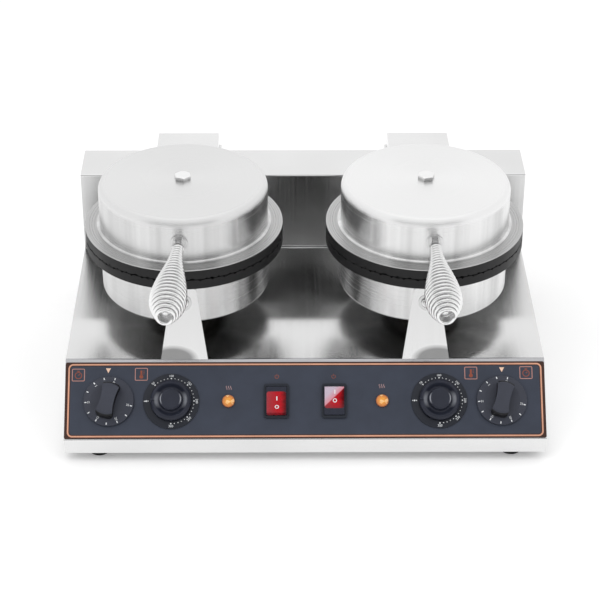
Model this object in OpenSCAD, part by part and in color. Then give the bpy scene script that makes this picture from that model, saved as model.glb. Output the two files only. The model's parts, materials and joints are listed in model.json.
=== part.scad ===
// Double waffle cone maker for a counter top.
//
// Two round baking irons stand side by side on the deck of a sheet steel
// base. The base has a sloped control console in front and a raised riser
// box behind. Each iron is a fixed lower half and a lid half that swings up
// about a pin above the riser. Everything is drawn once and mirrored about
// the middle plane, so side = -1 is the left iron and side = +1 the right.
//
// Units are millimetres, +Z is up, +Y is to the rear. The origin is on the
// counter, in the middle of the whole machine.

/* [Base housing] */
// Width of the base across the counter
body_w = 490; // [470:1:560]
// Depth of the flat deck the irons stand on
deck_d = 230; // [226:1:260]
// Depth of the raised riser box behind the deck
riser_d = 60; // [52:1:90]
// Height of the riser box above the deck
riser_h = 92; // [80:1:100]
// Horizontal run of the sloped console
console_run = 60; // [52:1:80]
// Vertical rise of the sloped console
console_rise = 58; // [52:1:76]
// Height of the upright strip under the console
strip_h = 16; // [10:1:30]
// Thickness of the folded stainless sheet
sheet_t = 1.5; // [1:0.1:2]
// Inside radius of the folds in that sheet
bend_in_r = 0.4; // [0.2:0.1:2.5]
// Height of the rubber feet
foot_h = 10; // [6:1:25]
// Radius of a rubber foot where it meets the base
foot_r = 12; // [9:0.5:15]
// Distance of each foot's middle from the sides
foot_inset = 34; // [24:1:60]
// Distance of each foot's middle from the front and the back
foot_setback = 19; // [17:1:40]

/* [Baking irons] */
// Distance of each iron's axis from the middle plane
iron_x = 126; // [116:0.5:135]
// Distance of each iron's axis behind the front edge of the deck
iron_y = 116; // [112:0.5:118]
// Radius of the round stainless shells
shell_r = 88; // [80:0.5:90]
// Height of the upper shell at its crown
upper_shell_h = 47.8; // [44:0.1:56]
// Rise of the upper shell's top from its crown to its middle
dome_h = 2.2; // [1:0.1:4]
// Height of the lower shell
lower_shell_h = 49.1; // [45:0.1:56]
// Wall of each shell
shell_t = 1.2; // [0.8:0.1:2]
// Radius rolled on the crown of the upper shell
crown_r = 8; // [4:0.5:12]
// Radius rolled on the bottom edge of the lower shell
heel_r = 3; // [2:0.5:9]
// Width of the flared lip round the open side of a shell
lip_w = 3.3; // [1.5:0.1:4]
// Radius of the cast baking plates
plate_r = 103.4; // [98:0.1:104]
// Thickness of each baking plate
plate_t = 10.4; // [7:0.1:12]
// Gap left between the closed plates at their rims
plate_gap = 0.6; // [0.4:0.1:1]
// Thickness of the turned aluminium ring above the upper plate
ring_t = 0.9; // [0.8:0.1:4]
// Height of the lower shell above the deck
iron_lift = 26.6; // [24:0.1:40]

/* [Waffle pattern] */
// Spacing of the pattern grooves
groove_pitch = 11.5; // [9:0.5:20]
// Depth of the pattern grooves
groove_depth = 1.7; // [0.8:0.1:2.2]
// Angle between the pattern and the machine's width
groove_turn = 45; // [0:1:90]

/* [Handles] */
// Length of the coiled wire grip
grip_l = 112; // [90:1:125]
// Outside radius of the grip where it starts at the collar
grip_root_r = 6.2; // [5.8:0.1:8]
// Largest outside radius of the grip
grip_max_r = 18.4; // [14:0.1:21]
// Outside radius of the last turn
grip_end_r = 8.6; // [7:0.1:12]
// Place of the largest radius, as a share of the grip's length
grip_belly = 0.76; // [0.6:0.01:0.85]
// Number of turns in the grip
grip_turns = 22; // [14:1:22]
// Thickness of the grip's wire
wire_d = 3.5; // [3:0.1:3.6]
// Downward tilt of the handle
handle_tilt = 7.8; // [0:0.1:12]
// Outward turn of the left handle
left_handle_turn = 4.4; // [0:0.1:6]
// Outward turn of the right handle
right_handle_turn = 2; // [0:0.1:6]
// Outward offset of the left handle's root from the iron's axis
left_root_x = 0.8; // [0:0.1:6]
// Outward offset of the right handle's root from the iron's axis
right_root_x = 3.9; // [0:0.1:6]
// Drop of the handle's root below the top of the upper shell
handle_drop = 24.4; // [19:0.1:27]

/* [Hinges] */
// Distance of the hinge pin in front of the back of the riser
pivot_inset = 18; // [14:0.5:22]
// Height of the hinge pin above the riser
pivot_rise = 10; // [10:0.1:14]
// Radius of the hinge pin
pin_r = 3; // [2:0.1:3.5]
// Outside width of the hinge arm
arm_w = 66; // [50:1:90]
// Thickness of the hinge arm's sheet
arm_t = 1.5; // [1:0.1:2]
// Drop of the arm's front end below the top of the shell
arm_drop = 15; // [12:1:20]
// Clearance between the arm's round end and the riser
arm_clear = 0.8; // [0.4:0.1:1.5]
// Height of the arm's rear corner above the pin
arm_rear_h = 24.8; // [18:0.1:27]
// Distance of that corner in front of the pin
arm_rear_in = 10; // [8:0.5:16]
// Gap between the fixed ears and the arm's sides
ear_gap = 1.5; // [0.6:0.1:4]
// Thickness of the ears and their foot
ear_t = 2.5; // [2:0.1:4]

/* [Front brackets] */
// Offset of a bracket from the iron's axis toward the middle plane
bracket_shift = 2.5; // [0:0.1:4]
// Width of a bracket at the deck
bracket_base_w = 48; // [40:1:70]
// Width of a bracket at its top
bracket_top_w = 25; // [20:1:40]
// Height of a bracket above the deck
bracket_h = 69; // [60:1:72]
// Thickness of a bracket
bracket_t = 2; // [1.5:0.1:2.5]
// Height of the bracket's bolt above the deck
bracket_bolt_z = 55; // [48:1:56]

/* [Controls] */
// Distance of the timers from the middle plane
timer_x = 200; // [194:0.5:204]
// Distance of the thermostats from the middle plane
thermostat_x = 136.5; // [133:0.5:138]
// Distance of the lamps from the middle plane
lamp_x = 78.3; // [60:0.5:90]
// Distance of the switches from the middle plane
switch_x = 29.5; // [18:0.5:40]
// Distance of the row of controls below the front edge of the deck
control_s = 44; // [40:0.5:48]
// Radius of a timer knob
timer_r = 25.7; // [22:0.1:28]
// Height of a timer knob's grip
timer_h = 17; // [12:0.5:22]
// Radius of the dial ring round a thermostat knob
dial_r = 28.6; // [26:0.1:31]
// Radius of a thermostat knob
thermostat_r = 20.8; // [18:0.1:23]
// Height of a thermostat knob
thermostat_h = 14; // [10:0.5:20]
// Radius of a heat lamp's lens
lamp_r = 6.6; // [5.5:0.1:8]
// Width of a switch's frame
switch_w = 25.6; // [22:0.1:32]
// Length of a switch's frame up the slope
switch_l = 35.6; // [30:0.1:38]
// Tilt of a rocker either way
rocker_tilt = 9; // [6:1:10]
// Radius of the control shafts
shaft_r = 3; // [2.5:0.1:3.5]
// Thickness of the printed control panel
panel_t = 0.8; // [0.5:0.1:1.5]

/* [Fits] */
// Radial play of a turning pin or shaft in its hole
turn_play = 0.06; // [0.02:0.01:0.1]
// Gap between pieces that move past each other
move_gap = 0.4; // [0.3:0.05:0.6]
// Gap round a piece let into an opening
let_in_gap = 0.3; // [0.1:0.05:0.5]
// Gap between faces that are clamped together
seat_gap = 0.02; // [0:0.01:0.05]

/* [Hidden] */
$fn = 96;
eps = 0.01;

// Levels, from the counter up
console_z = foot_h + strip_h;
deck_z = console_z + console_rise;
riser_top = deck_z + riser_h;
lower_shell_z = deck_z + iron_lift;
lower_plate_z = lower_shell_z + lower_shell_h;
upper_plate_z = lower_plate_z + plate_t + plate_gap;
ring_z = upper_plate_z + plate_t;
upper_shell_z = ring_z + ring_t;
iron_top = upper_shell_z + upper_shell_h;
dome_r = (pow(shell_r - crown_r, 2) + pow(dome_h, 2)) / (2 * dome_h);
bend_r = bend_in_r + sheet_t;

// Handle axis: it starts on the shell and runs forward and down
handle_z = iron_top - handle_drop;
collar_l = 8;
handle_len = collar_l + grip_l;
function handle_turn(side) = side < 0 ? left_handle_turn : right_handle_turn;
function root_x(side) = side < 0 ? left_root_x : right_root_x;
function root_y(side) = -sqrt(pow(shell_r, 2) - pow(root_x(side), 2));
handle_reach = max([for (side = [-1, 1])
    handle_len * cos(handle_tilt) * cos(handle_turn(side)) - root_y(side)
        - side * (grip_end_r - wire_d / 2) * sin(handle_turn(side))]);

// The whole machine, measured from the front edge of the deck
gland_l = 15;
back_reach = deck_d + riser_d;
reach_front = max(console_run + timer_h, handle_reach - iron_y);
front_y = (reach_front - back_reach - gland_l) / 2;
back_y = front_y + back_reach;
iron_cy = front_y + iron_y;

// Console
slope = atan2(console_rise, console_run);
slope_l = norm([console_rise, console_run]);
panel_top_s = 3;
panel_end_s = slope_l - 1;
panel_margin = 0.3;
knob_n = panel_t + move_gap;
shaft_hole_r = shaft_r + turn_play;

// Hinge
pivot_y = back_y - pivot_inset;
pivot_z = riser_top + pivot_rise;
arm_end_r = pivot_rise - arm_clear;
ear_r = arm_end_r - arm_t - 1.2;
arm_top_z = iron_top - arm_drop;
arm_low_z = upper_shell_z + 6;
arm_front_y = iron_cy + sqrt(pow(shell_r, 2) - pow(arm_w / 2, 2)) - 2;
ear_span = arm_w - 2 * (arm_t + ear_gap);
hinge_screw_r = 2;
lead_hole_r = 5;
pin_head_r = 5;
pin_head_t = 2;

// Front bracket: its back face just meets the shell at the bracket's top
bracket_room = iron_y - shell_r - seat_gap;
bracket_lean = acos(bracket_t / norm([bracket_h, bracket_room]))
    - atan2(bracket_h, bracket_room);
bracket_l = bracket_h / cos(bracket_lean);
bracket_bolt_r = 3;
bracket_x = iron_x - bracket_shift;

// Baking irons
bolt_r = 5;
bolt_af = 15.5;
bolt_head_h = 4.4;
boss_r = 10;
boss_drop = pow(boss_r, 2) / (2 * dome_r);
heater_r = 60;
heater_wire_r = 4;
wire_hole_r = 20;
pedestal_r = 34;

// Switches
switch_wall = 1.1;
tub_w = switch_w - 1.8;
tub_l = switch_l - 3;
well_w = tub_w - 2 * switch_wall;
well_l = tub_l - 2 * switch_wall;
switch_face = panel_t + 2.2;
rocker_axis_n = 1.6;

// ---------------------------------------------------------------- helpers

// Unit vector from a to b
function toward(a, b) = (b - a) / norm(b - a);

// The corner b of the path a, b, c moved inward by d along its bisector
function corner_in(a, b, c, d) =
    let (u = toward(b, a), v = toward(b, c), w = (u + v) / norm(u + v))
    b + w * d / sin(acos(u * v) / 2);

// Arc of radius r that rounds the corner b of the path a, b, c
function corner_arc(a, b, c, r, n) =
    let (m = corner_in(a, b, c, r), u = toward(b, a), v = toward(b, c),
         d = r / tan(acos(u * v) / 2), p = b + u * d - m, q = b + v * d - m,
         a0 = atan2(p[1], p[0]), sweep = atan2(p[0] * q[1] - p[1] * q[0], p * q))
    [for (i = [0:n]) m + r * [cos(a0 + sweep * i / n), sin(a0 + sweep * i / n)]];

// A closed outline with each corner rounded by its own radius
function rounded(pts, radii, n = 8) =
    let (k = len(pts))
    [for (i = [0:k - 1])
        each (radii[i] > 0
            ? corner_arc(pts[(i + k - 1) % k], pts[i], pts[(i + 1) % k], radii[i], n)
            : [pts[i]])];

// A convex closed outline moved inward by d
function inset(pts, d) =
    let (k = len(pts))
    [for (i = [0:k - 1]) corner_in(pts[(i + k - 1) % k], pts[i], pts[(i + 1) % k], d)];

// Extrudes an outline drawn in (Y, Z) across the machine, centred on X = 0
module across(width) {
    rotate([90, 0, 90]) translate([0, 0, -width / 2])
        linear_extrude(height = width) children();
}

// Places a child at one iron's axis, at height z
module at_iron(side, z) {
    translate([side * iron_x, iron_cy, z]) children();
}

// Places a child on the console slope, its +Z pointing out of the panel
module on_console(x, s, n = 0) {
    translate([x, front_y - s * cos(slope), deck_z - s * sin(slope)])
        rotate([slope, 0, 0]) translate([0, 0, n]) children();
}

// Places a child on the handle's axis, its +Z pointing to the handle's end
module on_handle(side, along = 0) {
    at_iron(side, handle_z) translate([side * root_x(side), root_y(side), 0])
        rotate([0, 0, side * handle_turn(side)])
            rotate([90 + handle_tilt, 0, 0]) translate([0, 0, along]) children();
}

// Places a child on the front face of a bracket, its +Z pointing forward
module on_bracket(side, up = 0) {
    translate([side * bracket_x, front_y, deck_z])
        rotate([90 - bracket_lean, 0, 0]) translate([0, up, 0]) children();
}

// Rectangle with round corners, centred
module round_rect(w, l, r) {
    polygon(rounded([[-w / 2, -l / 2], [w / 2, -l / 2], [w / 2, l / 2], [-w / 2, l / 2]],
        [r, r, r, r]));
}

// Hexagonal head or nut with its corners turned down on the top
module hex_head(af, h) {
    corner = af / sqrt(3);
    intersection() {
        cylinder(r = corner, h = h, $fn = 6);
        rotate_extrude() polygon([
            [0, 0], [corner, 0], [corner, h * 0.8], [af / 2 * 0.94, h], [0, h]]);
    }
}

// Round-topped screw head on its shank
module pan_screw(head_r, head_h, shank_r, shank_l) {
    rotate_extrude() polygon(rounded([
        [0, 0], [head_r, 0], [head_r, head_h], [0, head_h]], [0, 0, head_h * 0.7, 0]));
    translate([0, 0, -shank_l]) cylinder(r = shank_r, h = shank_l + eps);
}

// ---------------------------------------------------------- base housing

// Side outline of the base: strip, slope, deck and back
base_outline = [
    [front_y - console_run, foot_h], [back_y, foot_h], [back_y, deck_z],
    [front_y, deck_z], [front_y - console_run, console_z]];

passage_w = 70;
passage_d = riser_d - 24;
gland_x = body_w / 2 - 90;
gland_z = foot_h + (deck_z - foot_h) * 0.45;
gland_r = 8;

// Every hole that a control needs through the console
module console_cuts(depth) {
    for (side = [-1, 1]) {
        for (x = [timer_x, thermostat_x])
            on_console(side * x, control_s, -depth)
                cylinder(r = shaft_hole_r + 1, h = 2 * depth);
        on_console(side * lamp_x, control_s, -depth)
            cylinder(r = lamp_r * 0.7 + let_in_gap, h = 2 * depth);
        on_console(side * switch_x, control_s, -depth)
            linear_extrude(height = 2 * depth)
                square([tub_w + 2 * let_in_gap, tub_l + 2 * let_in_gap], center = true);
    }
}

module base_housing() {
    color([0.80, 0.81, 0.82]) difference() {
        across(body_w) polygon(rounded(base_outline, [0, 0, 0, bend_r, bend_r]));
        across(body_w - 2 * sheet_t) polygon(rounded(inset(base_outline, sheet_t),
            [0, 0, 0, bend_in_r, bend_in_r]));
        // open underside
        translate([-body_w / 2 + sheet_t, front_y - console_run + sheet_t, foot_h - 1])
            cube([body_w - 2 * sheet_t, console_run + back_reach - 2 * sheet_t,
                sheet_t + 1 + eps]);
        console_cuts(8);
        for (side = [-1, 1]) {
            // leads to the lower iron
            at_iron(side, deck_z - 10) cylinder(r = wire_hole_r, h = 20);
            // leads to the riser
            translate([side * iron_x - passage_w / 2, back_y - riser_d + 12, deck_z - 10])
                cube([passage_w, passage_d, 20]);
        }
        translate([gland_x, back_y + 10, gland_z]) rotate([90, 0, 0])
            cylinder(r = gland_r + seat_gap, h = 20);
    }
}

slot_w = 4;
slot_l = 34;
slot_pitch = 10;

// A row of round-ended vent slots along X, drawn flat
module vent_row(count) {
    for (i = [0:count - 1])
        translate([(i - (count - 1) / 2) * slot_pitch, 0]) {
            square([slot_w, slot_l - slot_w], center = true);
            for (e = [-1, 1])
                translate([0, e * (slot_l - slot_w) / 2]) circle(d = slot_w);
        }
}

module base_plate() {
    w = body_w - 2 * sheet_t - 2 * let_in_gap;
    d = console_run + back_reach - 2 * sheet_t - 2 * let_in_gap;
    color([0.72, 0.73, 0.74]) translate([0, (front_y - console_run + back_y) / 2, foot_h])
        linear_extrude(height = sheet_t) difference() {
            square([w, d], center = true);
            for (x = [-1, 1]) translate([x * iron_x, 20]) vent_row(9);
        }
}

module feet() {
    for (x = [-1, 1], y = [front_y - console_run + foot_setback, back_y - foot_setback])
        color([0.06, 0.06, 0.06]) translate([x * (body_w / 2 - foot_inset), y, 0])
            rotate_extrude() difference() {
                polygon(rounded([
                    [0, 0], [foot_r * 0.86, 0], [foot_r, foot_h - seat_gap],
                    [0, foot_h - seat_gap]], [0, 1.5, 0, 0]));
                translate([0, -eps]) square([foot_r * 0.4, foot_h * 0.5]);
            }
}

module cord_gland() {
    color([0.08, 0.08, 0.09]) translate([gland_x, back_y, gland_z]) rotate([-90, 0, 0])
        difference() {
            union() {
                translate([0, 0, seat_gap]) hex_head(22, 6);
                rotate_extrude() polygon(rounded([
                    [0, 5], [9.5, 5], [9.5, 11], [7, gland_l], [0, gland_l]],
                    [0, 0, 2, 1, 0]));
                translate([0, 0, -12]) cylinder(r = gland_r, h = 13);
                translate([0, 0, -sheet_t - seat_gap - 5]) cylinder(r = 11, h = 5, $fn = 6);
            }
            translate([0, 0, -20]) cylinder(r = 4, h = 40);
        }
}

module terminal_block() {
    poles = 6;
    pole_w = 11;
    color([0.85, 0.84, 0.78])
        translate([gland_x - 60, back_y - 60, foot_h + sheet_t + seat_gap]) difference() {
            translate([-poles * pole_w / 2, -10, 0]) cube([poles * pole_w, 20, 15]);
            for (i = [0:poles - 1], y = [-5, 5])
                translate([(i - (poles - 1) / 2) * pole_w, y, 7]) cylinder(r = 2.6, h = 9);
            for (i = [1:poles - 1])
                translate([(i - poles / 2) * pole_w - 0.8, -11, 11]) cube([1.6, 22, 5]);
        }
}

// ----------------------------------------------------------------- riser

riser_outline = [
    [back_y - riser_d, deck_z + seat_gap], [back_y, deck_z + seat_gap],
    [back_y, riser_top], [back_y - riser_d, riser_top]];
seam_r = 0.9;
tab_w = 12;
cover_screw_r = 2;
cover_h = riser_h - sheet_t - 2 * let_in_gap;
cover_screw_x = body_w / 2 - sheet_t - tab_w / 2;
cover_screw_rows = [-cover_h / 2 + tab_w / 2, cover_h / 2 - tab_w / 2];

// Places a child at each screw of the rear cover, its +Z pointing backward
module at_cover_screws() {
    for (x = [-1, 0, 1], z = cover_screw_rows)
        translate([x * cover_screw_x, back_y, deck_z + riser_h / 2 - sheet_t / 2 + z])
            rotate([-90, 0, 0]) children();
}

module riser_housing() {
    inner_w = body_w - 2 * sheet_t;
    low = deck_z - 1;
    color([0.80, 0.81, 0.82]) difference() {
        across(body_w) polygon(rounded(riser_outline, [seam_r, 0, bend_r, bend_r]));
        // the hollow, open below
        translate([-inner_w / 2, back_y - riser_d + sheet_t, low])
            cube([inner_w, riser_d - 3 * sheet_t, riser_h + 1 - sheet_t]);
        // seat of the rear cover
        translate([-inner_w / 2, back_y - sheet_t - seat_gap, low])
            cube([inner_w, 10, riser_h + 1 - sheet_t]);
        // opening inside the screw tabs
        for (side = [-1, 1])
            translate([side * inner_w / 4, back_y - 3 * sheet_t, (low + riser_top - sheet_t - tab_w) / 2])
                cube([inner_w / 2 - 1.5 * tab_w, 20, riser_h + 1 - sheet_t - tab_w], center = true);
        at_cover_screws() translate([0, 0, -10])
            cylinder(r = cover_screw_r + seat_gap, h = 20);
        for (side = [-1, 1]) {
            // leads to the upper iron
            translate([side * iron_x, pivot_y, riser_top - 10])
                cylinder(r = lead_hole_r, h = 20);
            at_hinge_screws(side) translate([0, 0, -12])
                cylinder(r = hinge_screw_r + seat_gap, h = 14);
        }
    }
}

module rear_cover() {
    w = body_w - 2 * sheet_t - 2 * let_in_gap;
    color([0.74, 0.75, 0.76]) difference() {
        translate([-w / 2, back_y - sheet_t, deck_z + let_in_gap])
            cube([w, sheet_t, cover_h]);
        at_cover_screws() translate([0, 0, -10])
            cylinder(r = cover_screw_r + seat_gap, h = 20);
        for (x = [-1, 1])
            translate([x * iron_x, back_y + 5, deck_z + riser_h / 2]) rotate([90, 0, 0])
                linear_extrude(height = 10) vent_row(11);
    }
}

module cover_screws() {
    color([0.55, 0.56, 0.58]) at_cover_screws()
        translate([0, 0, seat_gap]) pan_screw(3.6, 2.2, cover_screw_r, 8);
}

// --------------------------------------------------------------- console

module control_panel() {
    l = panel_end_s - panel_top_s;
    color([0.27, 0.29, 0.34]) difference() {
        on_console(0, panel_top_s + l / 2, seat_gap)
            linear_extrude(height = panel_t - seat_gap)
                round_rect(body_w - 2 * panel_margin, l, 2);
        console_cuts(8);
    }
}

// Round timer movement on its mounting plate, behind the slope
module timer_body(side) {
    color([0.62, 0.60, 0.52]) on_console(side * timer_x, control_s, -sheet_t - seat_gap)
        difference() {
            union() {
                translate([-24, -20, -1.5]) cube([48, 40, 1.5]);
                translate([0, 0, -26]) cylinder(r = 19, h = 25);
                for (x = [-8, 8]) translate([x - 3, -0.4, -34]) cube([6, 0.8, 9]);
            }
            translate([0, 0, -20]) cylinder(r = shaft_hole_r, h = 30);
        }
}

// Box thermostat with its terminals, behind the slope
module thermostat_body(side) {
    color([0.85, 0.83, 0.76]) on_console(side * thermostat_x, control_s, -sheet_t - seat_gap)
        difference() {
            union() {
                translate([-21, -14, -1.5]) cube([42, 28, 1.5]);
                translate([-17, -13, -28]) cube([34, 26, 27]);
                translate([0, 0, -32]) cylinder(r = 9, h = 5);
                for (x = [-10, 10]) translate([x - 3, -0.4, -36]) cube([6, 0.8, 9]);
            }
            translate([0, 0, -20]) cylinder(r = shaft_hole_r, h = 30);
        }
}

// Control shaft with its flat, from inside the body up into the knob
module control_shaft(x, top) {
    color([0.70, 0.70, 0.72]) on_console(x, control_s) difference() {
        translate([0, 0, -18]) cylinder(r = shaft_r, h = 18 + top);
        translate([shaft_r * 0.5, -5, top - 8]) cube([5, 10, 9]);
    }
}

// Bore for the shaft, with the flat that drives the knob
module shaft_bore(top) {
    difference() {
        translate([0, 0, -1]) cylinder(r = shaft_r + seat_gap, h = top + 1 + seat_gap);
        translate([shaft_r * 0.5 + seat_gap, -5, top - 8 + seat_gap]) cube([5, 10, 20]);
    }
}

timer_skirt_h = 4.5;
timer_grip_w = 17;
timer_grip_l = 37;
timer_grip_turn = -14;
timer_shaft_top = knob_n + timer_h - 4;

// Timer knob: a thin domed skirt with a waisted grip across it
module timer_knob(side) {
    color([0.14, 0.15, 0.17]) on_console(side * timer_x, control_s) difference() {
        union() {
            translate([0, 0, knob_n]) rotate_extrude() polygon(rounded([
                [0, 0], [timer_r, 0], [timer_r, timer_skirt_h * 0.6],
                [timer_grip_l / 2, timer_skirt_h], [0, timer_skirt_h]],
                [0, 0.6, 1, 6, 0]));
            intersection() {
                translate([0, 0, knob_n + 1]) rotate([0, 0, timer_grip_turn])
                    linear_extrude(height = timer_h - 1) difference() {
                        round_rect(timer_grip_w, timer_grip_l, 4);
                        for (x = [-1, 1])
                            translate([x * (timer_grip_w / 2 + 58.5), 0]) circle(r = 60);
                    }
                translate([0, 0, knob_n]) rotate_extrude() polygon(rounded([
                    [0, 0], [timer_grip_l / 2 + 1, 0], [timer_grip_l / 2 - 1, timer_h],
                    [0, timer_h]], [0, 0, 4, 0]));
            }
        }
        shaft_bore(timer_shaft_top);
    }
}

thermostat_shaft_top = knob_n + thermostat_h - 4;

// Fixed dial ring, slightly coned toward the knob
module thermostat_dial(side) {
    hole = thermostat_r + move_gap;
    color([0.10, 0.11, 0.12]) on_console(side * thermostat_x, control_s, panel_t + seat_gap)
        rotate_extrude() polygon(rounded([
            [hole, 0], [dial_r, 0], [dial_r, 1.4], [hole + 1, 2.6], [hole, 2.6]],
            [0, 0, 0.6, 0.4, 0]));
}

// Thermostat knob: a rolled rim, a dished face and a raised hub
module thermostat_knob(side) {
    r = thermostat_r;
    h = thermostat_h;
    color([0.09, 0.10, 0.11]) on_console(side * thermostat_x, control_s) difference() {
        union() {
            translate([0, 0, knob_n]) rotate_extrude() polygon(rounded([
                [0, 0], [r, 0], [r, h * 0.55], [r * 0.86, h * 0.8], [r * 0.66, h * 0.52],
                [r * 0.56, h * 0.52], [r * 0.52, h], [0, h]],
                [0, 0.5, 2, 2, 2, 1, 1.6, 0]));
            // pointer on the rim
            translate([-r * 0.98, -0.9, knob_n + h * 0.4])
                cube([r * 0.2, 1.8, h * 0.42]);
        }
        shaft_bore(thermostat_shaft_top);
    }
}

// Indicator lamp: a domed lens on a barrel held by a nut behind the sheet
module heat_lamp(side) {
    color([0.95, 0.55, 0.12]) on_console(side * lamp_x, control_s) {
        translate([0, 0, panel_t + seat_gap]) rotate_extrude() polygon(rounded([
            [0, 0], [lamp_r, 0], [lamp_r, 2.4], [0, 3.2]], [0, 0, 1.2, 0]));
        translate([0, 0, -16]) cylinder(r = lamp_r * 0.7, h = 17);
        translate([0, 0, -sheet_t - seat_gap - 3]) cylinder(r = lamp_r * 1.25, h = 3, $fn = 6);
    }
}

// Switch frame: a rim on the panel and a tub with terminals behind it
module switch_frame(side) {
    depth = 22;
    color([0.05, 0.05, 0.06]) on_console(side * switch_x, control_s) difference() {
        union() {
            translate([0, 0, panel_t + seat_gap])
                linear_extrude(height = switch_face - panel_t - seat_gap)
                    round_rect(switch_w, switch_l, 2.5);
            translate([-tub_w / 2, -tub_l / 2, -depth])
                cube([tub_w, tub_l, depth + switch_face - 0.5]);
            for (x = [-5, 5], y = [-9, 0, 9])
                translate([x - 0.4, y - 3, -depth - 8]) cube([0.8, 6, 9]);
        }
        translate([-well_w / 2, -well_l / 2, -depth + 2])
            cube([well_w, well_l, depth + switch_face]);
        translate([-switch_w, 0, rocker_axis_n]) rotate([0, 90, 0])
            cylinder(r = 1 + turn_play, h = 2 * switch_w);
    }
}

// Rocker with a shallow V face; the ends are arcs about its own axis
module rocker(side) {
    half = well_l / 2 - move_gap;
    w = well_w - 2 * move_gap;
    color([0.70, 0.05, 0.06]) on_console(side * switch_x, control_s, rocker_axis_n)
        rotate([side * rocker_tilt, 0, 0]) {
            across(w) intersection() {
                circle(r = half);
                polygon([[-half, -3], [-half * 0.4, -8], [half * 0.4, -8], [half, -3],
                    [half, 4.6], [0, 2.6], [-half, 4.6]]);
            }
            translate([-w / 2 - 1, 0, 0]) rotate([0, 90, 0]) cylinder(r = 1, h = w + 2);
        }
}

// ------------------------------------------------------ lower baking iron

module pedestal(side) {
    color([0.70, 0.71, 0.72]) at_iron(side, deck_z) rotate_extrude() polygon([
        [pedestal_r - 4, seat_gap], [pedestal_r + 8, seat_gap], [pedestal_r + 8, 2],
        [pedestal_r, 2], [pedestal_r, iron_lift - 2], [pedestal_r + 8, iron_lift - 2],
        [pedestal_r + 8, iron_lift - seat_gap], [pedestal_r - 4, iron_lift - seat_gap]]);
}

// Half outline of a shell standing on its lip: outer or inner by inset d
module shell_half(d, corner, height, dome) {
    r = shell_r - d;
    h = height - d;
    c = corner - d;
    translate([0, -1]) square([r, h - c + 1]);
    square([r - c, h]);
    translate([r - c, h - c]) circle(r = c);
    if (dome) intersection() {
        translate([0, h + dome_h - dome_r]) circle(r = dome_r, $fn = 1440);
        square([r - c, h + dome_h + 1]);
    }
}

// Spun cup with a flared lip round its open side at z = 0, closed at the top
module spun_cup(corner, height, dome) {
    rotate_extrude() intersection() {
        square([shell_r + lip_w + 1, height + dome_h + 1]);
        difference() {
            union() {
                shell_half(0, corner, height, dome);
                difference() {
                    square([shell_r + lip_w, shell_t + 1.2]);
                    translate([shell_r + lip_w, shell_t + lip_w - 0.2]) circle(r = lip_w - 0.2);
                }
            }
            shell_half(shell_t, corner, height, dome);
        }
    }
}

module lower_shell(side) {
    color([0.82, 0.82, 0.82]) difference() {
        union() {
            at_iron(side, lower_plate_z - seat_gap) mirror([0, 0, 1])
                spun_cup(heel_r, lower_shell_h, false);
            // welded boss for the bracket's bolt
            on_bracket(side, bracket_bolt_z / cos(bracket_lean))
                translate([0, 0, -bracket_t - seat_gap - 12]) cylinder(r = 8, h = 12);
        }
        on_bracket(side, bracket_bolt_z / cos(bracket_lean))
            translate([0, 0, -40]) cylinder(r = bracket_bolt_r + seat_gap, h = 50);
        at_iron(side, lower_shell_z - 5) cylinder(r = wire_hole_r, h = 20);
    }
}

// Cast plate with its waffle face up at z = 0 and a boss under it; shift moves
// the pattern, as a share of its spacing, so that the two plates interlock
module waffle_plate(boss_h, shift) {
    lines = ceil(plate_r / groove_pitch);
    side_l = groove_depth * sqrt(2);
    difference() {
        union() {
            translate([0, 0, -plate_t]) rotate_extrude() polygon(rounded([
                [0, 0], [plate_r, 0], [plate_r, plate_t], [0, plate_t]],
                [0, 0.6, 0.6, 0]));
            translate([0, 0, -plate_t - boss_h]) cylinder(r = boss_r, h = boss_h + 1);
        }
        for (turn = [0, 1], i = [-lines:lines])
            rotate([0, 0, groove_turn + 90 * turn])
                translate([(i + turn / 2 + shift) * groove_pitch, 0, 0]) rotate([0, 45, 0])
                    cube([side_l, 2 * plate_r + 10, side_l], center = true);
        translate([0, 0, -plate_t - boss_h - 1])
            cylinder(r = bolt_r + seat_gap, h = boss_h + plate_t - 3);
    }
}

module lower_plate(side) {
    color([0.10, 0.10, 0.11]) at_iron(side, lower_plate_z + plate_t) waffle_plate(14, 0);
}

// Bent tubular element lying at z = 0, its ends in two upright sleeves
module heater() {
    gap_angle = 24;
    sleeve_r = heater_wire_r + 1.2;
    translate([0, 0, heater_wire_r]) rotate([0, 0, 90 + gap_angle / 2])
        rotate_extrude(angle = 360 - gap_angle) translate([heater_r, 0])
            circle(r = heater_wire_r);
    for (turn = [-1, 1])
        rotate([0, 0, 90 + turn * (gap_angle / 2 + 1)]) translate([heater_r, 0, 1.4])
            cylinder(r = sleeve_r, h = 26.6);
}

module lower_heater(side) {
    color([0.45, 0.42, 0.38]) at_iron(side, lower_plate_z - 2 * seat_gap)
        mirror([0, 0, 1]) heater();
}

module front_bracket(side) {
    color([0.84, 0.85, 0.86]) {
        difference() {
            on_bracket(side) translate([0, 0, -bracket_t])
                linear_extrude(height = bracket_t) difference() {
                    polygon(rounded([
                        [-bracket_base_w / 2, 0], [bracket_base_w / 2, 0],
                        [bracket_top_w / 2, bracket_l], [-bracket_top_w / 2, bracket_l]],
                        [0, 0, 5, 5]));
                    translate([0, bracket_bolt_z / cos(bracket_lean)])
                        circle(r = bracket_bolt_r + seat_gap);
                }
            translate([side * bracket_x - bracket_base_w, front_y - 10, deck_z - 10 + seat_gap])
                cube([2 * bracket_base_w, 40, 10]);
        }
        // foot folded back along the deck
        translate([side * bracket_x - bracket_base_w / 2 + 3, front_y + 1, deck_z + seat_gap])
            cube([bracket_base_w - 6, 15, bracket_t]);
    }
}

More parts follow.
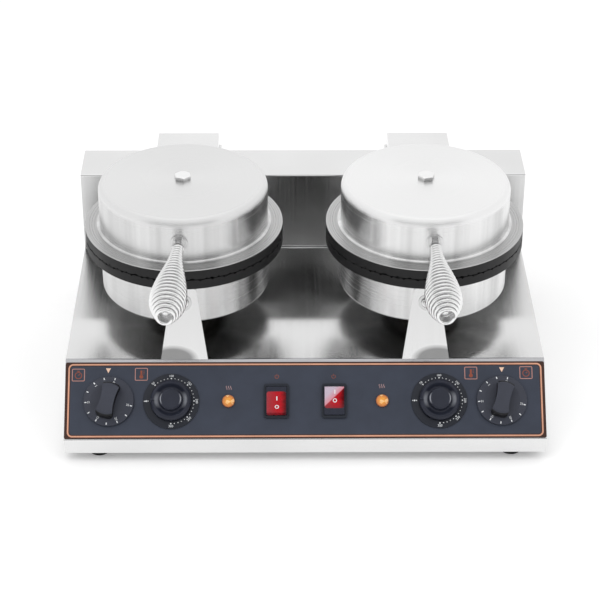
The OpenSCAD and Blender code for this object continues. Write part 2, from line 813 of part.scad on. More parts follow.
// Button-head bolt on a washer, through each bracket into the shell's boss
module bracket_bolts() {
    washer_t = 1.2;
    for (side = [-1, 1])
        color([0.62, 0.63, 0.65]) on_bracket(side, bracket_bolt_z / cos(bracket_lean)) {
            translate([0, 0, seat_gap]) difference() {
                cylinder(r = 8, h = washer_t);
                translate([0, 0, -1]) cylinder(r = bracket_bolt_r, h = 2);
            }
            translate([0, 0, seat_gap + washer_t - eps])
                pan_screw(5.4, 3.4, bracket_bolt_r, bracket_t + 14);
        }
}

// ------------------------------------------------------ upper baking iron

module upper_plate(side) {
    boss_h = upper_shell_h + dome_h - boss_drop + ring_t - shell_t - 2 * seat_gap;
    color([0.10, 0.10, 0.11]) at_iron(side, upper_plate_z)
        mirror([0, 0, 1]) waffle_plate(boss_h, 0.5);
}

// Turned aluminium ring between plate and shell, with fine steps in its face
module plate_ring(side) {
    inner = shell_r - 12;
    step = ring_t * 0.3;
    start = shell_r + lip_w + 1.2;
    pitch = (plate_r - start) / 4;
    color([0.78, 0.78, 0.78]) at_iron(side, ring_z + seat_gap) rotate_extrude() difference() {
        translate([inner, 0]) square([plate_r - inner, ring_t - 2 * seat_gap]);
        for (i = [0:2])
            translate([start + (i + 0.4) * pitch, ring_t - 2 * seat_gap]) circle(r = step, $fn = 24);
        translate([plate_r, ring_t]) rotate([0, 0, 45]) square(ring_t * 0.5, center = true);
    }
}

module upper_heater(side) {
    color([0.45, 0.42, 0.38]) at_iron(side, ring_z + seat_gap) heater();
}

module upper_shell(side) {
    color([0.86, 0.86, 0.86]) difference() {
        union() {
            at_iron(side, upper_shell_z) spun_cup(crown_r, upper_shell_h, true);
            // pressed seat of the handle's nut
            on_handle(side, -rod_seat_t) cylinder(r = 9, h = rod_seat_t + rod_seat_out);
        }
        at_iron(side, iron_top - 5) cylinder(r = bolt_r + seat_gap, h = 10);
        on_handle(side, -20) cylinder(r = rod_r + seat_gap, h = 40);
        // leads through the hinge arm
        translate([side * iron_x, iron_cy + shell_r - 10, (arm_top_z + arm_low_z) / 2])
            rotate([-90, 0, 0]) cylinder(r = 6, h = 20);
    }
}

module top_bolt(side) {
    color([0.70, 0.71, 0.73]) at_iron(side, iron_top + dome_h + seat_gap) {
        rotate([0, 0, side < 0 ? 40 : 15]) hex_head(bolt_af, bolt_head_h);
        translate([0, 0, -30]) cylinder(r = bolt_r, h = 30 + eps);
    }
}

// Side outline of the hinge arm, in (Y, Z): it comes down onto its round end
function arm_tangent(a, r, upper) =
    let (p = [pivot_y, pivot_z] - a, t = atan2(p[1], p[0]), d = norm(p),
         b = asin(r / d) * (upper ? 1 : -1), l = sqrt(d * d - r * r))
    a + l * [cos(t + b), sin(t + b)];

arm_a_top = [arm_front_y, arm_top_z];
arm_a_low = [arm_front_y, arm_low_z];
arm_t_low = arm_tangent(arm_a_low, arm_end_r, false);
arm_rear = [pivot_y - arm_rear_in, pivot_z + arm_rear_h];
arm_t_rear = arm_tangent(arm_rear, arm_end_r, true);
arm_flap = arm_rear + (arm_t_rear - arm_rear) * 0.6;
arm_down = arm_t * toward([0, 0], [arm_rear[1] - arm_a_top[1], arm_a_top[0] - arm_rear[0]]);
arm_in = arm_t * toward([0, 0], [arm_t_rear[1] - arm_rear[1], arm_rear[0] - arm_t_rear[0]]);

module hinge_arm(side) {
    hole_r = pin_r + turn_play;
    mid_z = (arm_top_z + arm_low_z) / 2;
    color([0.82, 0.83, 0.84]) translate([side * iron_x, 0, 0]) difference() {
        union() {
            for (e = [-1, 1]) translate([e * (arm_w - arm_t) / 2, 0, 0]) across(arm_t) {
                polygon([arm_a_low, arm_t_low, [pivot_y, pivot_z], arm_t_rear,
                    arm_rear, arm_a_top]);
                translate([pivot_y, pivot_z]) circle(r = arm_end_r);
            }
            // top sheet, and the flap folded down behind it
            across(arm_w) polygon([
                arm_a_top, arm_a_top + arm_down, arm_rear + arm_down, arm_rear]);
            across(arm_w) polygon([
                arm_rear, arm_rear + arm_in, arm_flap + arm_in, arm_flap]);
            // saddle that hugs the shell
            intersection() {
                translate([0, iron_cy, arm_low_z])
                    cylinder(r = shell_r + seat_gap + arm_t, h = arm_top_z - arm_low_z - 1);
                translate([-arm_w / 2, arm_front_y, arm_low_z]) cube([arm_w, 30, 100]);
            }
        }
        translate([0, iron_cy, arm_low_z - 5])
            cylinder(r = shell_r + seat_gap, h = 100);
        translate([-arm_w, pivot_y, pivot_z]) rotate([0, 90, 0])
            cylinder(r = hole_r, h = 2 * arm_w);
        translate([0, iron_cy + shell_r - 10, mid_z])
            rotate([-90, 0, 0]) cylinder(r = 6, h = 20);
    }
}

// ---------------------------------------------------------------- hinges

// Places a child at each screw of one hinge bracket, on top of its foot
module at_hinge_screws(side) {
    for (x = [-1, 1])
        translate([side * iron_x + x * ear_span * 0.28, pivot_y, riser_top + ear_t])
            children();
}

module hinge_bracket(side) {
    foot_d = 2 * ear_r + 4;
    color([0.66, 0.67, 0.69]) difference() {
        translate([side * iron_x, 0, 0]) {
            translate([-ear_span / 2, pivot_y - foot_d / 2, riser_top + seat_gap])
                cube([ear_span, foot_d, ear_t - seat_gap]);
            for (e = [-1, 1]) translate([e * (ear_span - ear_t) / 2, 0, 0]) across(ear_t) {
                translate([pivot_y, pivot_z]) circle(r = ear_r);
                translate([pivot_y - ear_r, riser_top + seat_gap])
                    square([2 * ear_r, pivot_rise]);
            }
        }
        translate([-body_w / 2, pivot_y, pivot_z]) rotate([0, 90, 0])
            cylinder(r = pin_r + seat_gap, h = body_w);
        at_hinge_screws(side) translate([0, 0, -10])
            cylinder(r = hinge_screw_r + seat_gap, h = 20);
        translate([side * iron_x, pivot_y, riser_top - 10])
            cylinder(r = lead_hole_r, h = 20);
    }
}

module hinge_pins() {
    span = arm_w + 2 * move_gap;
    for (side = [-1, 1])
        color([0.62, 0.63, 0.65]) translate([side * iron_x, pivot_y, pivot_z])
            rotate([0, 90, 0]) {
                cylinder(r = pin_r, h = span, center = true);
                for (e = [0, 1]) mirror([0, 0, e]) translate([0, 0, span / 2 - eps])
                    rotate_extrude() polygon(rounded([
                        [0, 0], [pin_head_r, 0], [pin_head_r, pin_head_t], [0, pin_head_t]],
                        [0, 0, 1, 0]));
            }
}

module hinge_screws() {
    for (side = [-1, 1])
        color([0.60, 0.61, 0.63]) at_hinge_screws(side)
            translate([0, 0, seat_gap])
                pan_screw(hinge_screw_r * 1.7, 2, hinge_screw_r, 9);
}

// --------------------------------------------------------------- handles

rod_r = grip_root_r - wire_d - 0.1;
rod_nut_t = 5;
rod_seat_t = 4;
rod_seat_out = 1.2;

// Outside radius of the grip at the share t of its length
function grip_r(t) = t < grip_belly
    ? grip_root_r + (grip_max_r - grip_root_r) * (1 - cos(180 * t / grip_belly)) / 2
    : grip_end_r + (grip_max_r - grip_end_r)
        * cos(90 * (t - grip_belly) / (1 - grip_belly));

// Place along the axis after the share u of the turns; the pitch is closest at
// both ends of the grip
function grip_at(u) = u - 0.24 / (2 * PI) * sin(360 * u);

module handle_rod(side) {
    color([0.68, 0.69, 0.71]) on_handle(side) {
        translate([0, 0, -12]) cylinder(r = rod_r, h = 12 + handle_len - 8);
        translate([0, 0, rod_seat_out + seat_gap]) hex_head(2 * grip_root_r - 1, rod_nut_t);
        translate([0, 0, rod_nut_t + rod_seat_out])
            cylinder(r = grip_root_r, h = collar_l - rod_nut_t - rod_seat_out - seat_gap);
        translate([0, 0, -rod_seat_t - seat_gap - rod_nut_t])
            cylinder(r = 7, h = rod_nut_t, $fn = 6);
        // nut that holds the last turns
        translate([0, 0, handle_len - 14]) hex_head(2 * grip_end_r - 2 * wire_d, 5);
    }
}

// Coiled wire grip: a round wire section carried along a belly-shaped helix
module handle_grip(side) {
    per_turn = 16;
    ring = 6;
    steps = grip_turns * per_turn;
    wire_r = wire_d / 2;
    length = grip_l - wire_d;
    points = [for (i = [0:steps], j = [0:ring - 1])
        let (u = i / steps, t = grip_at(u), r = grip_r(t) - wire_r,
             a = 360 * i / per_turn, w = 360 * j / ring,
             out = r + wire_r * cos(w))
        [out * cos(a), out * sin(a), wire_r + t * length + wire_r * sin(w)]];
    sides = [for (i = [0:steps - 1], j = [0:ring - 1])
        let (k = (j + 1) % ring, a = i * ring + j, b = i * ring + k)
        each [[a, b, a + ring], [b, b + ring, a + ring]]];
    start = [for (j = [ring - 1:-1:0]) j];
    end = [for (j = [0:ring - 1]) steps * ring + j];
    color([0.85, 0.86, 0.87]) on_handle(side, collar_l)
        polyhedron(points, concat(sides, [start, end]), convexity = 10);
}

// ----------------------------------------------------------------- nodes

base_housing();
base_plate();
feet();
riser_housing();
rear_cover();
cover_screws();
control_panel();
cord_gland();
terminal_block();
bracket_bolts();
hinge_pins();
hinge_screws();
timer_body(-1);  // left_timer_body
control_shaft(-1 * timer_x, timer_shaft_top);  // left_timer_shaft
timer_knob(-1);  // left_timer_knob
thermostat_body(-1);  // left_thermostat_body
control_shaft(-1 * thermostat_x, thermostat_shaft_top);  // left_thermostat_shaft
thermostat_dial(-1);  // left_thermostat_dial
thermostat_knob(-1);  // left_thermostat_knob
switch_frame(-1);  // left_switch_frame
rocker(-1);  // left_rocker
heat_lamp(-1);  // left_heat_lamp
pedestal(-1);  // left_pedestal
lower_shell(-1);  // left_lower_shell
lower_heater(-1);  // left_lower_heater
lower_plate(-1);  // left_lower_plate
front_bracket(-1);  // left_front_bracket
hinge_bracket(-1);  // left_hinge_bracket
upper_plate(-1);  // left_upper_plate
plate_ring(-1);  // left_plate_ring
upper_heater(-1);  // left_upper_heater
upper_shell(-1);  // left_upper_shell
top_bolt(-1);  // left_top_bolt
hinge_arm(-1);  // left_hinge_arm
handle_rod(-1);  // left_handle_rod
handle_grip(-1);  // left_handle_grip
timer_body(1);  // right_timer_body
control_shaft(1 * timer_x, timer_shaft_top);  // right_timer_shaft
timer_knob(1);  // right_timer_knob
thermostat_body(1);  // right_thermostat_body
control_shaft(1 * thermostat_x, thermostat_shaft_top);  // right_thermostat_shaft
thermostat_dial(1);  // right_thermostat_dial
thermostat_knob(1);  // right_thermostat_knob
switch_frame(1);  // right_switch_frame
rocker(1);  // right_rocker
heat_lamp(1);  // right_heat_lamp
pedestal(1);  // right_pedestal
lower_shell(1);  // right_lower_shell
lower_heater(1);  // right_lower_heater
lower_plate(1);  // right_lower_plate
front_bracket(1);  // right_front_bracket
hinge_bracket(1);  // right_hinge_bracket
upper_plate(1);  // right_upper_plate
plate_ring(1);  // right_plate_ring
upper_heater(1);  // right_upper_heater
upper_shell(1);  // right_upper_shell
top_bolt(1);  // right_top_bolt
hinge_arm(1);  // right_hinge_arm
handle_rod(1);  // right_handle_rod
handle_grip(1);  // right_handle_grip
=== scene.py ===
"""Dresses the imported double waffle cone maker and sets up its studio.

Everything is in metres in the machine's own frame: +X to the right, +Y to the
rear, +Z up, with the origin on the counter. CAD nodes keep their meshes and
only get finishes. The coiled grips, the seam beads and all the print on the
panel, the knobs, the dials and the rockers are surfaces worked out here with
numpy.
"""

import json
import logging
import math
from collections.abc import Callable
from dataclasses import dataclass
from enum import Enum

import bpy
import numpy as np
from mathutils import Matrix, Vector


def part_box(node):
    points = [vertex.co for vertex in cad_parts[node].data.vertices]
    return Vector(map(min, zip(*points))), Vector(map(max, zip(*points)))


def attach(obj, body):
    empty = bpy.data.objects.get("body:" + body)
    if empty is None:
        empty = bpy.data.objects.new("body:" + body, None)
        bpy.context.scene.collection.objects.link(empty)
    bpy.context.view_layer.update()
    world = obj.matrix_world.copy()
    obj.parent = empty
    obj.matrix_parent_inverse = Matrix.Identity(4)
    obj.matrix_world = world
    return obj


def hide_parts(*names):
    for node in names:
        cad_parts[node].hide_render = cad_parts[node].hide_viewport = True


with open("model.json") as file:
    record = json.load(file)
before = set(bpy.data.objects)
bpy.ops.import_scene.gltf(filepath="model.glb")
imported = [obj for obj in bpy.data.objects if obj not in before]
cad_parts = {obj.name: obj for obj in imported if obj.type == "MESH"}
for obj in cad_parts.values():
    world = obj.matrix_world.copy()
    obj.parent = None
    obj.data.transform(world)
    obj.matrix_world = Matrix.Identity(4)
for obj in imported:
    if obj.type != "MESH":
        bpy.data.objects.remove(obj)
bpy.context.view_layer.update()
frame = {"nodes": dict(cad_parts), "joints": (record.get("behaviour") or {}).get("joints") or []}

log = logging.getLogger("waffle_cone_maker")
MM = 0.001
PER_MM = (1 / MM, 1 / MM, 1 / MM)
Array = np.ndarray
Socket = bpy.types.NodeSocket
Material = bpy.types.Material
Pair = tuple[float, float]
Point = tuple[float, float, float]
Colour = tuple[float, float, float]


class Side(Enum):
    """The two mirrored halves of the machine."""

    LEFT = -1
    RIGHT = 1

    def node(self, piece: str) -> str:
        """Returns the CAD node's name on this side."""
        return f"{self.name.lower()}_{piece}"


class Ink(Enum):
    """The colours that the machine is printed in."""

    COPPER = (0.86, 0.63, 0.52)
    CREAM = (0.95, 0.80, 0.70)
    PINK = (0.74, 0.54, 0.50)
    RUST = (0.58, 0.30, 0.22)
    UMBER = (0.24, 0.14, 0.11)
    ROSE = (0.72, 0.58, 0.58)
    WHITE = (0.92, 0.93, 0.94)


def linear(colour: Colour) -> tuple[float, float, float, float]:
    """Turns a display colour into scene values.

    Args:
        colour: red, green and blue as they look, each from 0 to 1.

    Returns:
        The linear colour with full alpha.
    """
    return tuple(c / 12.92 if c <= 0.04045 else ((c + 0.055) / 1.055) ** 2.4
                 for c in colour) + (1.0,)


# ------------------------------------------------------------------ meshes


def mesh_piece(name: str, points: Array, faces: list, material: Material,
               smooth: bool = True) -> bpy.types.Object:
    """Makes an object from vertices and faces and gives it its finish.

    Args:
        name: the piece's name.
        points: vertices, shape (n, 3), in metres.
        faces: lists of vertex indices, facing outward.
        material: the finish.
        smooth: whether the faces are shaded smooth.

    Returns:
        The object, linked to the scene.
    """
    mesh = bpy.data.meshes.new(name)
    mesh.from_pydata(np.asarray(points, dtype=float).tolist(), [], faces)
    mesh.polygons.foreach_set("use_smooth", np.full(len(mesh.polygons), smooth))
    mesh.update()
    piece = bpy.data.objects.new(name, mesh)
    piece.data.materials.append(material)
    bpy.context.scene.collection.objects.link(piece)
    return piece


def tube(path: Array, across: Array, along: Array, radius: Array, sides: int,
         ) -> tuple[Array, list]:
    """Carries a circle along a path and closes both ends.

    Each point is path + radius * (cos w * across + sin w * along), with w
    going once round the circle.

    Args:
        path: centres, shape (n, 3).
        across: first unit vector of each section, shape (n, 3).
        along: second unit vector of each section, shape (n, 3).
        radius: section radius at each centre, shape (n,).
        sides: points round the section.

    Returns:
        Vertices and faces.
    """
    w = np.linspace(0.0, 2.0 * np.pi, sides, endpoint=False)
    ring = (np.cos(w)[None, :, None] * across[:, None, :]
            + np.sin(w)[None, :, None] * along[:, None, :])
    points = path[:, None, :] + radius[:, None, None] * ring
    n = len(path)
    i, j = np.meshgrid(np.arange(n - 1), np.arange(sides), indexing="ij")
    k = (j + 1) % sides
    quads = np.stack([i * sides + j, i * sides + k, (i + 1) * sides + k,
                      (i + 1) * sides + j], axis=-1).reshape(-1, 4)
    caps = [list(range(sides - 1, -1, -1)),
            list(range((n - 1) * sides, n * sides))]
    return points.reshape(-1, 3), quads.tolist() + caps


class Print:
    """Flat ink marks drawn on a surface and gathered into one mesh.

    A mark is drawn in millimetres in the plane of its surface. The height of
    the surface over that plane is a function of x and y, so that ink lies on
    a coned ring as well as on a flat panel.
    """

    THICK = 0.05

    def __init__(self, origin: Vector, normal: Vector,
                 height: Callable[[Array, Array], Array] | None = None) -> None:
        """Sets the plane.

        Args:
            origin: the plane's zero point, in metres.
            normal: unit vector out of the surface.
            height: function of x and y arrays giving the surface, or None.
        """
        x = Vector((1.0, 0.0, 0.0))
        y = normal.cross(x).normalized()
        self.axes = np.array([x, y, normal])
        self.origin = np.array(origin)
        self.height = height or (lambda px, py: np.zeros_like(px))
        self.points: list[Array] = []
        self.faces: list[list[int]] = []
        self.count = 0

    def slab(self, outline: Array) -> None:
        """Adds a closed outline as a thin raised slab.

        Args:
            outline: shape (n, 2), counter-clockwise, in millimetres.
        """
        n = len(outline)
        low = self.height(outline[:, 0], outline[:, 1])
        both = np.concatenate([np.column_stack([outline, low]),
                               np.column_stack([outline, low + self.THICK])])
        a = self.count
        i = np.arange(n)
        j = (i + 1) % n
        self.faces += np.stack([a + i, a + j, a + n + j, a + n + i], axis=-1).tolist()
        self.faces += [(a + n + i).tolist(), (a + i[::-1]).tolist()]
        self.points.append(both)
        self.count += 2 * n

    def rails(self, right: Array, left: Array, closed: bool) -> None:
        """Adds a strip of ink between two edges with as many points each.

        Args:
            right: edge on the right of the way that the strip runs, shape (n, 2).
            left: edge on its left.
            closed: whether the last points join the first.
        """
        n = len(right)
        rows = [np.column_stack([edge, self.height(edge[:, 0], edge[:, 1]) + lift])
                for edge, lift in ((right, 0.0), (right, self.THICK), (left, self.THICK),
                                   (left, 0.0))]
        i, j = np.meshgrid(np.arange(n if closed else n - 1), np.arange(4), indexing="ij")
        k, m = (i + 1) % n, (j + 1) % 4
        a = self.count
        quads = np.stack([a + i * 4 + j, a + k * 4 + j, a + k * 4 + m, a + i * 4 + m],
                         axis=-1).reshape(-1, 4)
        self.faces += quads.tolist()
        if not closed:
            self.faces += [[a, a + 1, a + 2, a + 3],
                           [a + 4 * n - 1, a + 4 * n - 2, a + 4 * n - 3, a + 4 * n - 4]]
        self.points.append(np.stack(rows, axis=1).reshape(-1, 3))
        self.count += 4 * n

    def band(self, path: Array, width: float, closed: bool = False) -> None:
        """Adds a line of ink of even width along a path.

        The two edges are the path moved half the width to either side along
        the mean of its neighbouring normals.

        Args:
            path: shape (n, 2), in millimetres.
            width: of the line, in millimetres.
            closed: whether the last point joins the first.
        """
        step = (np.roll(path, -1, axis=0) - np.roll(path, 1, axis=0)) if closed \
            else np.gradient(path, axis=0)
        step /= np.linalg.norm(step, axis=1, keepdims=True)
        side = np.column_stack([-step[:, 1], step[:, 0]]) * width / 2
        self.rails(path - side, path + side, closed)

    def disc(self, x: float, y: float, radius: float, sides: int = 16) -> None:
        """Adds a round dot centred on x, y."""
        self.slab(circle(x, y, radius, sides))

    def numeral(self, text: str, x: float, y: float, size: float, turn: float) -> None:
        """Adds a number centred on x, y.

        Args:
            text: the digits.
            x: place across, in millimetres.
            y: place up the surface, in millimetres.
            size: height of the type, in millimetres.
            turn: angle in radians, counter-clockwise.
        """
        curve = bpy.data.curves.new("digits", "FONT")
        curve.body, curve.size = text, size
        curve.align_x, curve.align_y = "CENTER", "CENTER"
        curve.extrude, curve.resolution_u = self.THICK / 2, 2
        holder = bpy.data.objects.new("digits", curve)
        bpy.context.scene.collection.objects.link(holder)
        bpy.context.view_layer.update()
        mesh = bpy.data.meshes.new_from_object(holder)
        flat = np.empty(len(mesh.vertices) * 3)
        mesh.vertices.foreach_get("co", flat)
        flat = flat.reshape(-1, 3)
        c, s = math.cos(turn), math.sin(turn)
        px = x + c * flat[:, 0] - s * flat[:, 1]
        py = y + s * flat[:, 0] + c * flat[:, 1]
        pz = self.height(px, py) + flat[:, 2] + self.THICK / 2
        self.faces += [[self.count + v for v in face.vertices] for face in mesh.polygons]
        self.points.append(np.column_stack([px, py, pz]))
        self.count += len(flat)
        bpy.data.objects.remove(holder)
        bpy.data.meshes.remove(mesh)
        bpy.data.curves.remove(curve)

    def piece(self, name: str, material: Material, body: str) -> None:
        """Makes all the marks one piece that rides on a body.

        Args:
            name: of the piece.
            material: the ink.
            body: what it rides on.
        """
        whole = np.round(np.concatenate(self.points), 4)
        kept, index = np.unique(whole, axis=0, return_inverse=True)
        index = index.reshape(-1)
        faces = [index[face].tolist() for face in self.faces]
        made = mesh_piece(name, self.origin + kept * MM @ self.axes, faces, material, False)
        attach(made, body)


def round_box(w: float, h: float, r: float, steps: int = 8) -> Array:
    """Outline of a box with round corners, counter-clockwise, centred.

    Args:
        w: width.
        h: height.
        r: corner radius.
        steps: points per corner, less one.

    Returns:
        Points, shape (n, 2).
    """
    a = np.linspace(0.0, np.pi / 2, steps + 1)
    arc = np.column_stack([np.cos(a), np.sin(a)]) * r
    corners = []
    for quarter, (sx, sy) in enumerate(((1, 1), (-1, 1), (-1, -1), (1, -1))):
        c, s = round(math.cos(quarter * math.pi / 2)), round(math.sin(quarter * math.pi / 2))
        turned = arc @ np.array([[c, s], [-s, c]])
        corners.append(turned + [sx * (w / 2 - r), sy * (h / 2 - r)])
    return np.concatenate(corners)


def circle(x: float, y: float, r: float, steps: int = 32) -> Array:
    """Points of a circle, counter-clockwise, shape (steps, 2)."""
    a = np.linspace(0.0, 2.0 * np.pi, steps, endpoint=False)
    return np.column_stack([x + r * np.cos(a), y + r * np.sin(a)])


# ---------------------------------------------------------------- finishes


def dim(colour: Colour, share: float) -> Colour:
    """Returns a colour with each part multiplied by a share."""
    return tuple(c * share for c in colour)


class Nodes:
    """A node tree, with short ways to add and join nodes."""

    def __init__(self, tree: bpy.types.NodeTree) -> None:
        """Empties the tree."""
        self.tree = tree
        self.tree.nodes.clear()

    def feed(self, node: bpy.types.Node, socket: int | str, value: object) -> None:
        """Joins a socket to a node's input, or writes a plain value there.

        Args:
            node: the node.
            socket: number or name of its input.
            value: an output of another node, or a plain value.
        """
        if isinstance(value, Socket):
            self.tree.links.new(value, node.inputs[socket])
        else:
            node.inputs[socket].default_value = value

    def node(self, kind: str, inputs: dict | None = None, **settings: object,
             ) -> bpy.types.Node:
        """Adds a node.

        Args:
            kind: its type.
            inputs: what each of its inputs is fed, by number or name.
            settings: its own properties.

        Returns:
            The node.
        """
        made = self.tree.nodes.new(kind)
        for key, value in settings.items():
            setattr(made, key, value)
        for socket, value in (inputs or {}).items():
            self.feed(made, socket, value)
        return made

    def maths(self, operation: str, a: object, b: object = 0.0) -> Socket:
        """Returns the result of a Math node."""
        return self.node("ShaderNodeMath", {0: a, 1: b}, operation=operation).outputs[0]

    def times(self, a: object, b: object) -> Socket:
        """Returns a product."""
        return self.maths("MULTIPLY", a, b)

    def root(self, a: Socket, b: Socket) -> Socket:
        """Returns the square root of the sum of two squares."""
        return self.maths("SQRT", self.maths("ADD", self.times(a, a), self.times(b, b)))

    def between(self, value: Socket, low: float, high: float, start: float = 0.3,
                end: float = 0.7, **settings: object) -> Socket:
        """Maps a value from start..end to low..high, and no further.

        Args:
            value: what is mapped.
            low: result at the start.
            high: result at the end.
            start: the value there.
            end: the value there, which may be the lesser.
            settings: properties of the node, such as its curve.

        Returns:
            The result.
        """
        return self.node("ShaderNodeMapRange", {
            "Value": value, "From Min": start, "From Max": end, "To Min": low,
            "To Max": high}, **settings).outputs["Result"]

    def ramp(self, value: Socket, start: float = 0.3, end: float = 0.7,
             **settings: object) -> Socket:
        """Returns a share that goes from 0 to 1 as the value goes from start to end."""
        return self.between(value, 0.0, 1.0, start, end, **settings)

    def parts(self, vector: Socket) -> list[Socket]:
        """Returns the three parts of a vector."""
        return list(self.node("ShaderNodeSeparateXYZ", {0: vector}).outputs)


class Graph(Nodes):
    """A material's node tree round one surface shader."""

    def __init__(self, name: str) -> None:
        """Starts an empty material with one surface shader.

        Args:
            name: of the material.
        """
        self.material = bpy.data.materials.new(name)
        self.material.use_nodes = True
        super().__init__(self.material.node_tree)
        self.shader = self.node("ShaderNodeBsdfPrincipled")
        self.out = self.node("ShaderNodeOutputMaterial", {"Surface": self.shader.outputs[0]})

    def put(self, **values: object) -> None:
        """Feeds inputs of the surface shader, spaces written as underscores."""
        for key, value in values.items():
            self.feed(self.shader, key.replace("_", " "), value)

    def place(self, centre: Point = (0, 0, 0), scale: Point = (1, 1, 1)) -> Socket:
        """Object coordinates moved to a centre and scaled.

        Args:
            centre: the pattern's zero point, in metres.
            scale: pattern units per metre on each axis.

        Returns:
            The mapped vector.
        """
        return self.node("ShaderNodeMapping", {
            "Vector": self.node("ShaderNodeTexCoord").outputs["Object"],
            "Location": [-c * s for c, s in zip(centre, scale)],
            "Scale": scale}).outputs["Vector"]

    def along(self, vector: Socket, axis: Point) -> Socket:
        """Returns how far a vector reaches along a unit axis."""
        return self.node("ShaderNodeVectorMath", {0: vector, 1: axis},
                         operation="DOT_PRODUCT").outputs["Value"]

    def slope(self, centre: Point, up: Point) -> tuple[Socket, Socket, Socket]:
        """Places in millimetres about a point of the sloping panel.

        Args:
            centre: the point, in metres.
            up: unit vector up the slope.

        Returns:
            The place, how far it lies across, and how far up the slope.
        """
        local = self.place(centre, PER_MM)
        return local, self.parts(local)[0], self.along(local, up)

    def noise(self, vector: Socket, scale: float, detail: float = 2.0) -> Socket:
        """Returns a noise value over a vector."""
        return self.node("ShaderNodeTexNoise", {
            "Vector": vector, "Scale": scale, "Detail": detail}).outputs["Fac"]

    def blend(self, share: Socket, first: object, second: object) -> Socket:
        """Colour that goes from first to second as the share goes from 0 to 1.

        Args:
            share: how much of the second colour shows.
            first: a colour as it looks, or an output that holds one.
            second: the same for the other end.

        Returns:
            The colour.
        """
        a, b = (c if isinstance(c, Socket) else linear(c) for c in (first, second))
        return self.node("ShaderNodeMix", {0: share, 6: a, 7: b},
                         data_type="RGBA").outputs[2]

    def rough(self, roughness: float, cloud: Socket, grain: Socket, spread: float) -> None:
        """Sets a roughness that drifts a tenth each way, and a spread with the grain.

        Args:
            roughness: its mean.
            cloud: the broad noise that it drifts with.
            grain: the fine noise.
            spread: how far it goes each way with the grain.
        """
        self.put(Roughness=self.maths(
            "ADD", self.between(grain, -spread, spread),
            self.between(cloud, roughness * 0.9, roughness * 1.1)))

    def bump(self, height: Socket, distance: float, strength: float,
             under: Socket | None = None) -> Socket:
        """Roughens the surface by a height, on top of another normal if given.

        Args:
            height: the relief, in units of the distance.
            distance: in metres.
            strength: share of the relief that shows.
            under: normal that the relief is added to.

        Returns:
            The new normal, which is also joined to the shader.
        """
        inputs = {"Strength": strength, "Distance": distance, "Height": height}
        if under:
            inputs["Normal"] = under
        normal = self.node("ShaderNodeBump", inputs).outputs["Normal"]
        self.put(Normal=normal)
        return normal


@dataclass(frozen=True)
class Finish:
    """A finish, drawn as the nodes of one material."""

    name: str

    def draw(self, g: Graph) -> None:
        """Draws the nodes."""
        raise NotImplementedError

    def make(self) -> Material:
        """Makes the material.

        Returns:
            The material.
        """
        g = Graph(self.name)
        self.draw(g)
        return g.material


@dataclass(frozen=True)
class SheetSteel(Finish):
    """Stainless sheet, ground one way, so that it mirrors softly across.

    The grain is long on the axes where its scale is small. The crown is the
    slope by which level faces fall toward the rear, as rolled sheet does. The
    fold, if any, is the y before which the bent edge, between two heights, is
    painted darker, a painted shade over the highlight along the fold.
    """

    colour: Colour = (0.915, 0.915, 0.915)
    roughness: float = 0.17
    grain: Point = (700.0, 5.0, 5.0)
    anisotropy: float = 0.0
    crown: float = 0.0
    fold: float = 0.0
    fold_w: float = 0.0012
    fold_z: Pair = (0.070, 0.074)
    fold_shade: Colour = (0.72, 0.72, 0.73)
    across: Point = (1.0, 0.004, 0.002)

    def draw(self, g: Graph) -> None:
        """Draws the nodes.

        Args:
            g: the material's nodes.
        """
        grain = g.noise(g.place(scale=self.grain), 1.0, 3.0)
        cloud = g.noise(g.place(), 9.0, 3.0)
        _, y, z = g.parts(g.place())
        colour = g.blend(g.ramp(cloud), dim(self.colour, 0.97), self.colour)
        # Painted shade: the bent edge before the fold's y is darkened to tone down its
        # highlight.
        if self.fold:
            near = g.ramp(y, self.fold + self.fold_w, self.fold)
            colour = g.blend(g.times(near, g.ramp(z, *self.fold_z)), colour, self.fold_shade)
        g.put(Metallic=1.0, Anisotropic=self.anisotropy, Base_Color=colour)
        g.rough(self.roughness, cloud, grain, 0.02)
        under = g.bump(g.times(y, -self.crown), 1.0, 1.0) if self.crown else None
        if self.anisotropy:
            across = g.node("ShaderNodeCombineXYZ", dict(enumerate(self.across)))
            g.put(Tangent=across.outputs[0])
        g.bump(grain, 0.00002, 0.12, under)


